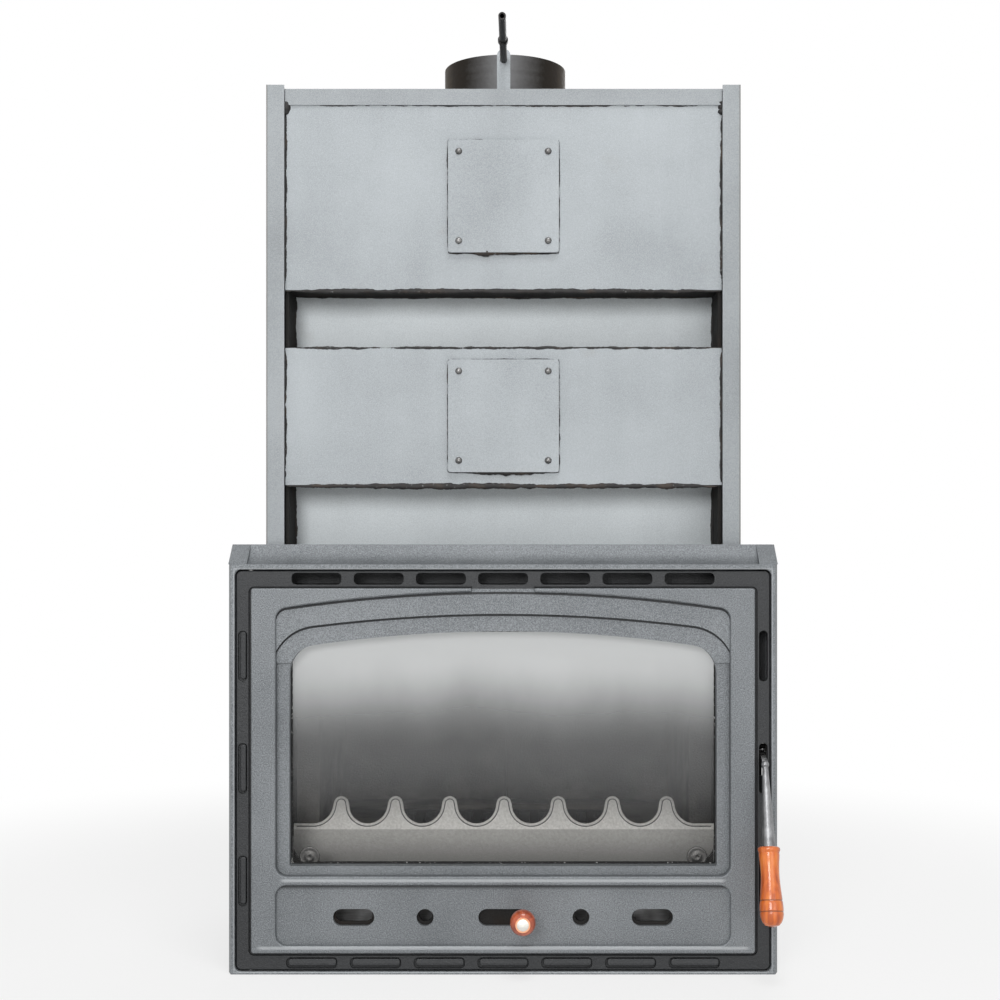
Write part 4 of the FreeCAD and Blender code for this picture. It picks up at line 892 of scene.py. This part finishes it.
@dataclass
class WeldSeams:
    """Hand-laid seams along the edges of the front panels, and sealant under the hatch covers."""

    finish: Material
    bead: float = 0.0034
    step: float = 0.0012
    sunk: float = 0.0006
    wobble: float = 0.0007
    least_points: int = 12
    side_inset: float = 0.0004
    foot_drop: float = 0.0012
    lip_gap: float = 0.0004
    top_shares: tuple[float, float] = (0.9, 0.65)
    # The bottom seams are wider: weld or sealant, and painted shade under the lower edges.
    foot_and_shade_share: float = 1.6
    hatch_and_shade_shares: tuple[float, ...] = (0.6, 0.6, 0.7, 0.9)
    sealant_share: float = 1.3
    sealant_reach: float = 0.3
    corner_share: float = 2.2
    corner_span: tuple[float, float] = (-0.012, 0.004)

    def run(self, name: str, start: Point, end: Point, size: float, seed: int, swell: float) -> None:
        """Lays one seam: an oval bead carried along a line that wanders, with a size that swells.

        Args:
            name: Name of the seam.
            start: First end.
            end: Last end.
            size: Mean width of the bead.
            seed: Start of the random draw.
            swell: How much the size varies.
        """
        reach = np.array(end) - np.array(start)
        length = np.linalg.norm(reach)
        count = max(int(length / self.step), self.least_points)
        share = np.linspace(0.0, 1.0, count)
        across = np.cross(reach / length, BACKWARDS)
        sway = wander(count, seed, 9) * self.wobble
        path = np.array(start) + share[:, None] * reach + across * sway[:, None]
        taper = np.minimum(1.0, 8.0 * np.minimum(share, 1.0 - share) + 0.25)
        ripple = wander(count, seed + 1, 7)
        drift = wander(count, seed + 2, 41)
        scale = size * taper * np.maximum(1.0 + swell * (0.6 * ripple + 0.7 * drift), 0.2)
        piece = carry(name, path, oval(1.0, 0.7, 10), BACKWARDS, scale, closed=False)
        settle(piece, "body", self.finish)

    def frame(self, name: str, low: Point, high: Point, sizes: tuple[float, ...], seed: int,
              stride: int = 10, swell: float = 0.6) -> None:
        """Lays seams along the edges of an upright plate, in the plane of its lowest corner.

        Args:
            name: Start of the seams' names.
            low: Lowest corner of the plate.
            high: Highest corner of the plate.
            sizes: Width of the left, right, top and bottom seam, or of the first three.
            seed: Start of the first random draw.
            stride: Step from one seam's draw to the next.
            swell: How much the sizes vary.
        """
        corners = [(x, low[1], z) for x in (low[0], high[0]) for z in (low[2], high[2])]
        sides = (("left", 0, 1), ("right", 2, 3), ("top", 1, 3), ("bottom", 0, 2))
        for index, ((side, first, last), size) in enumerate(zip(sides, sizes)):
            draw = seed + stride * index
            self.run(f"{name}_{side}_seam", corners[first], corners[last], size, draw, swell)

    def storey(self, level: str, top_share: float, seed: int) -> None:
        """Lays the seams of one panel, its hatch and the recess below, and the sealant under the hatch.

        Args:
            level: Which of the two panels.
            top_share: Size of the panel's top seam, as a share of the bead.
            seed: Start of the random draws.
        """
        low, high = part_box(f"{level}_front_panel")
        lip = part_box("top_cover")[0][2]
        edge_low = (low[0] + self.side_inset, low[1] + self.sunk, low[2] - self.foot_drop)
        edge_high = (high[0] - self.side_inset, high[1], min(high[2], lip - self.lip_gap))
        # The panel's bottom seam is its weld and the shade under its lower edge, painted dark.
        sizes = (self.bead, self.bead, self.bead * top_share, self.bead * self.foot_and_shade_share)
        self.frame(f"{level}_panel", edge_low, edge_high, sizes, seed + 3)
        hatch_low, hatch_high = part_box(f"{level}_hatch_cover")
        # The dark seams round the hatch cover are its sealant and the painted shade round its edges.
        rims = tuple(self.bead * share for share in self.hatch_and_shade_shares)
        self.frame(f"{level}_hatch", (hatch_low[0], low[1], hatch_low[2]), hatch_high, rims, seed + 203)
        neck_low, neck_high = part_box(f"{level}_neck_plate")
        self.frame(f"{level}_recess", neck_low, neck_high, (self.bead,) * 3, seed + 43, 5, 0.5)
        middle = (hatch_low[0] + hatch_high[0]) / 2.0
        reach = (hatch_high[0] - hatch_low[0]) * self.sealant_reach
        start, end = ((middle + side * reach, hatch_high[1], hatch_low[2]) for side in (-1.0, 1.0))
        self.run(f"{level}_hatch_sealant", start, end, self.bead * self.sealant_share, seed + 63, 0.9)

    def build(self) -> None:
        """Lays the seams of both storeys and the welds at the top corners."""
        for index, level in enumerate(("lower", "upper")):
            self.storey(level, self.top_shares[index], 100 * index)
        low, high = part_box("upper_front_panel")
        for index, (side, x) in enumerate((("left", low[0]), ("right", high[0]))):
            start, end = ((x, low[1], high[2] + rise) for rise in self.corner_span)
            self.run(f"{side}_corner_weld", start, end, self.bead * self.corner_share, 400 + 7 * index, 0.5)


@dataclass
class RetainerBead:
    """Thin raised rim along the scalloped edge of the log retainer, with a dark line inside it."""

    rim: Material
    darkening: Material
    peaks: int = 7
    pitch: float = 0.0625
    peak_r: float = 0.0085
    flank_share: float = 0.982
    fold_z: float = 0.141
    valley_rise: float = 0.0065
    peak_rise: float = 0.036
    tilt: float = math.radians(20.0)
    width: float = 0.0026
    inset: float = 0.0016
    line_width: float = 0.0011
    line_inset: float = 0.0033
    points: int = 1800

    def heights(self, x: np.ndarray) -> np.ndarray:
        """Height of the edge above the fold, measured on the slope.

        Near a peak it is the peak's circle, then the straight flank that touches both circles, then the
        valley's circle.

        Args:
            x: Places along the retainer.

        Returns:
            The heights.
        """
        stretch = 1.0 / math.cos(self.tilt)
        valley = self.valley_rise * stretch
        crest = self.peak_rise * stretch - self.peak_r
        half = self.pitch / 2.0
        rise = crest + self.peak_r - valley
        valley_r = self.flank_share * (half ** 2 + rise ** 2) / (2.0 * rise) - self.peak_r
        drop = crest - valley - valley_r
        lean = math.acos((self.peak_r + valley_r) / math.hypot(half, drop)) - math.atan2(drop, half)
        outer = (self.peaks - 1) / 2.0
        away = np.abs(x - np.clip(np.round(x / self.pitch), -outer, outer) * self.pitch)
        leave = self.peak_r * math.cos(lean)
        meet = half - valley_r * math.cos(lean)
        top = crest + np.sqrt(np.maximum(self.peak_r ** 2 - away ** 2, 0.0))
        flank = crest + self.peak_r * math.sin(lean) - (away - leave) / math.tan(lean)
        out = half - np.minimum(away, half)
        dip = valley + valley_r - np.sqrt(np.maximum(valley_r ** 2 - out ** 2, 0.0))
        return np.select([away < leave, away < meet], [top, flank], dip)

    def lay(self, name: str, inset: float, width: float, finish: Material) -> None:
        """Lays one bead on the sloped face: the edge moved inwards along its own normal.

        Args:
            name: Name of the bead.
            inset: Distance from the edge.
            width: Width of the bead.
            finish: Its finish.
        """
        low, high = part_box("log_retainer")
        edge = np.linspace(low[0] + inset, high[0] - inset, self.points)
        line = np.stack((edge, self.heights(edge)), axis=1)
        tangent = np.gradient(line, axis=0)
        tangent /= np.linalg.norm(tangent, axis=1, keepdims=True)
        x, rise = (line + inset * np.stack((tangent[:, 1], -tangent[:, 0]), axis=1)).T
        y = low[1] + rise * math.sin(self.tilt)
        z = self.fold_z + rise * math.cos(self.tilt)
        path = np.stack((x, y, z), axis=1)
        up = (0.0, -math.cos(self.tilt), math.sin(self.tilt))
        piece = carry(name, path, oval(width, width * 0.9, 8), up, np.ones(self.points), False)
        settle(piece, "body", finish)

    def build(self) -> None:
        """Lays the rim and the line."""
        self.lay("retainer_rim", self.inset, self.width, self.rim)
        self.lay("retainer_rim_line", self.line_inset, self.line_width, self.darkening)


@dataclass
class CornerWashers:
    """Round washers with a screw, behind the lower corners of the glass."""

    finish: Material
    inset: float = 0.027
    rise: float = 0.0135
    turns: int = 40
    profile: tuple[tuple[float, float], ...] = (
        (1.0, 0.0), (1.0, 1.5), (0.1, 1.9), (0.1, 4.6), (0.9, 5.2), (0.9, 8.4),
        (0.3, 9.4), (0.5, 10.9), (1.2, 11.4), (2.4, 11.4), (2.8, 10.6), (2.8, 0.0))

    def build(self) -> None:
        """Turns both washers about lines square to the glass."""
        low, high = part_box("door_glass")
        profile = np.array(self.profile) * MM
        for side, x in (("left", low[0] + self.inset), ("right", high[0] - self.inset)):
            base = (x, high[1], low[2] + self.rise)
            piece = lathe(f"{side}_corner_washer", profile, base, BACKWARDS, self.turns)
            settle(piece, "door", self.finish)


@dataclass
class SealRopes:
    """Rope in the door's channel and round the glass."""

    finishes: dict[str, Material]
    step: float = 0.003
    lay: float = 0.009
    strand: float = 0.07
    points: int = 14
    corner_points: int = 12

    def loop(self, low: Point, high: Point, half: float, corner: float) -> np.ndarray:
        """Middle line of a rope: an upright rectangle with round corners, half a width inside a box.

        Args:
            low: Lowest corner of the box.
            high: Highest corner of the box.
            half: Half of the rope's width.
            corner: Radius of the line's corners.

        Returns:
            Rows of points, a step apart.
        """
        angle = np.linspace(0.0, np.pi / 2.0, self.corner_points)
        left, right = low[0] + half + corner, high[0] - half - corner
        foot, head = low[2] + half + corner, high[2] - half - corner
        arcs = []
        for quarter, (x, z) in enumerate(((right, head), (left, head), (left, foot), (right, foot))):
            turn = angle + quarter * np.pi / 2.0
            arcs.append(np.stack((x + corner * np.cos(turn), z + corner * np.sin(turn)), axis=1))
        corners = np.concatenate(arcs + [arcs[0][:1]])
        walked = np.concatenate(([0.0], np.cumsum(np.linalg.norm(np.diff(corners, axis=0), axis=1))))
        places = np.linspace(0.0, walked[-1], int(walked[-1] / self.step), endpoint=False)
        x, z = (np.interp(places, walked, column) for column in corners.T)
        return np.stack((x, np.full_like(x, (low[1] + high[1]) / 2.0), z), axis=1)

    def ring(self, node: str, half: float, corner: float) -> None:
        """Lays one rope: an oval whose size pulses with the lay of its strands.

        Args:
            node: Node that the rope stands for.
            half: Half of the rope's width.
            corner: Radius of the ring's outer corners.
        """
        low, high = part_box(node)
        path = self.loop(low, high, half, max(corner - half, half))
        walked = np.arange(len(path)) * self.step
        pulse = 1.0 - self.strand * (0.5 + 0.5 * np.sin(walked * 2.0 * np.pi / self.lay))
        section = oval(2.0 * half, high[1] - low[1], self.points)
        piece = carry(f"woven_{node}", path, section, BACKWARDS, pulse, closed=True)
        settle(piece, "door", self.finishes[node])
        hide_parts(node)

    def build(self) -> None:
        """Lays both ropes."""
        self.ring("door_rope", 0.0037, 0.012)
        self.ring("glass_rope", 0.004, 0.005)


@dataclass
class TurnedGrip:
    """Wooden grip of the door lever, turned with a collar, a waist, a belly and two burnt rings."""

    pivot: Point
    elbow: Point = (0.0, -0.0245, -0.006)
    lean: float = math.radians(17.0)
    drop: float = 0.088
    length: float = 0.083
    rings: tuple[float, float] = (0.67, 0.81)
    ring_spread: float = 0.008
    ring_depth: float = 0.0005
    points: int = 180
    shares: tuple[float, ...] = (0.0, 0.01, 0.03, 0.05, 0.07, 0.1, 0.2, 0.35, 0.5, 0.65, 0.78, 0.86, 0.92,
                                 0.96, 0.985, 1.0)
    radii: tuple[float, ...] = (10.3, 11.4, 11.9, 11.7, 11.0, 11.0, 10.3, 9.9, 10.6, 11.8, 12.6, 12.3, 10.9,
                                8.8, 6.0, 0.6)

    def line(self) -> tuple[np.ndarray, np.ndarray]:
        """Start and direction of the grip."""
        along = np.array((0.0, -math.sin(self.lean), -math.cos(self.lean)))
        return np.array(self.pivot) + np.array(self.elbow) + along * self.drop, along

    def ring_places(self) -> tuple[float, ...]:
        """Distance of each ring along the grip's direction, from the frame's origin."""
        base, along = self.line()
        return tuple(float(base @ along) + ring * self.length for ring in self.rings)

    def build(self, wood: Material) -> None:
        """Turns the grip: a smooth profile with a narrow dip at each ring.

        Args:
            wood: Its finish.
        """
        share, radius = turned_profile(self.shares, self.radii, self.points)
        for ring in self.rings:
            radius = radius - self.ring_depth * np.exp(-((share - ring) / self.ring_spread) ** 2)
        base, along = self.line()
        profile = np.stack((share * self.length, radius), axis=1)
        piece = lathe("turned_grip", profile, tuple(base), tuple(along))
        settle(piece, "handle", wood)
        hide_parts("handle_grip")


@dataclass
class TurnedKnob:
    """Wooden knob of the air slider."""

    wood: Material
    points: int = 90
    shares: tuple[float, ...] = (0.0, 0.02, 0.12, 0.3, 0.5, 0.7, 0.86, 0.95, 1.0)
    radii: tuple[float, ...] = (7.2, 8.6, 9.2, 10.8, 13.2, 13.7, 12.6, 10.6, 8.4)

    def build(self) -> None:
        """Turns the knob about its rod."""
        low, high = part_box("air_knob")
        share, radius = turned_profile(self.shares, self.radii, self.points)
        base = ((low[0] + high[0]) / 2.0, high[1], (low[2] + high[2]) / 2.0)
        profile = np.stack((share * (high[1] - low[1]), radius), axis=1)
        piece = lathe("turned_knob", profile, base, (0.0, -1.0, 0.0))
        settle(piece, "air_slider", self.wood)
        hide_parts("air_knob")


@dataclass(frozen=True)
class Softbox:
    """Square lamp that hangs at a place and points at a target, with its side in metres."""

    name: str
    place: Point
    target: Point
    side: float
    watts: float

    def hang(self) -> None:
        """Adds the lamp to the scene."""
        data = bpy.data.lights.new(self.name, "AREA")
        data.shape = "SQUARE"
        data.size = self.side
        data.energy = self.watts
        lamp = add_object(self.name, data)
        ray = np.array(self.target) - np.array(self.place)
        yaw = math.atan2(-ray[0], ray[1])
        pitch = math.atan2(math.hypot(ray[0], ray[1]), -ray[2])
        lamp.location = self.place
        lamp.rotation_euler = (pitch, 0.0, yaw)


@dataclass
class Studio:
    """Pale floor, soft lights, white backdrop and the camera in front of a given plane."""

    front: float
    camera_x: float = 0.0185
    camera_z: float = 0.484
    distance: float = 1.7
    focal: float = 56.2
    shift: tuple[float, float] = (-0.02, 0.03)
    sensor: float = 36.0
    floor_half: float = 12.0
    floor_drop: float = 0.0005
    world: float = 0.3
    lamps: tuple[Softbox, ...] = (
        Softbox("key", (-0.8, -3.6, 1.5), (0.0, -0.2, 0.45), 1.2, 54.0),
        Softbox("fill", (1.6, -3.2, 1.0), (0.0, -0.1, 0.45), 1.8, 16.0),
        Softbox("top", (0.2, -1.3, 2.7), (0.0, -0.2, 0.3), 0.9, 24.0),
        Softbox("back", (0.5, 3.0, 1.8), (0.0, 0.2, 0.5), 1.8, 34.0),
    )

    def floor(self) -> None:
        """Lays the floor: white to the camera, with the object's shadow near it."""
        corners = ((-1.0, -1.0), (1.0, -1.0), (1.0, 1.0), (-1.0, 1.0))
        points = [(x * self.floor_half, y * self.floor_half, -self.floor_drop) for x, y in corners]
        mesh = bpy.data.meshes.new("studio_floor")
        mesh.from_pydata(points, [], [(0, 1, 2, 3)])
        plane = add_object("studio_floor", mesh)
        paint = Paint("studio_floor")
        glow = paint.node("ShaderNodeEmission", {"Color": (1.0, 1.0, 1.0), "Strength": 1.0})
        x_axis = paint.axis("X")
        y_axis = paint.axis("Y")
        near = paint.band(x_axis * x_axis + y_axis * y_axis, 0.25, 1.6)
        share = seen_share(paint.tree) * (near * 0.3 + 0.7)
        inputs = {0: share, 1: paint.shader.outputs[0], 2: glow.outputs[0]}
        mix = paint.node("ShaderNodeMixShader", inputs)
        paint.tree.links.new(mix.outputs[0], paint.output.inputs[0])
        dress(plane, paint.finish(Base_Color=(0.82, 0.82, 0.815), Roughness=0.9))

    def backdrop(self) -> None:
        """Sets a soft world that looks white to the camera and in reflections."""
        world = bpy.data.worlds.new("studio")
        bpy.context.scene.world = world
        world.use_nodes = True
        tree = world.node_tree
        tree.nodes.clear()
        strength = seen_share(tree) * (1.0 - self.world) + self.world
        background = tree.nodes.new("ShaderNodeBackground")
        background.inputs["Color"].default_value = (1.0, 1.0, 1.0, 1.0)
        tree.links.new(strength.socket, background.inputs["Strength"])
        output = tree.nodes.new("ShaderNodeOutputWorld")
        tree.links.new(background.outputs[0], output.inputs[0])

    def camera(self) -> None:
        """Places the camera level in front of the door."""
        data = bpy.data.cameras.new("camera")
        data.lens = self.focal
        data.sensor_width = self.sensor
        data.shift_x, data.shift_y = self.shift
        camera = add_object("camera", data)
        camera.location = (self.camera_x, self.front - self.distance, self.camera_z)
        camera.rotation_euler = (math.pi / 2.0, 0.0, 0.0)
        bpy.context.scene.camera = camera

    def build(self) -> None:
        """Sets the whole studio."""
        bpy.context.scene.view_settings.view_transform = "Standard"
        self.floor()
        self.backdrop()
        for lamp in self.lamps:
            lamp.hang()
        self.camera()


def main() -> None:
    """Dresses the insert, adds its seams, ropes and turned wood, and sets the studio."""
    logging.basicConfig(level=logging.INFO, format="%(name)s: %(message)s")
    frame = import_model()
    joints = {joint["name"]: joint for joint in frame["joints"]}
    grip = TurnedGrip(tuple(joints["handle_pivot"]["pos_m"]))
    finishes = Finishes(grip)
    finishes.build(frame["nodes"])
    made = finishes.made
    WeldSeams(made["weld_scale"]).build()
    RetainerBead(made["pale_cast"], made["bare_cast"]).build()
    CornerWashers(made["washer_steel"]).build()
    SealRopes({"door_rope": made["seal_rope"], "glass_rope": made["sooty_rope"]}).build()
    grip.build(made["grip_wood"])
    TurnedKnob(made["knob_wood"]).build()
    Studio(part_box("surround_frame")[0][1]).build()


if __name__ == "__main__":
    main()
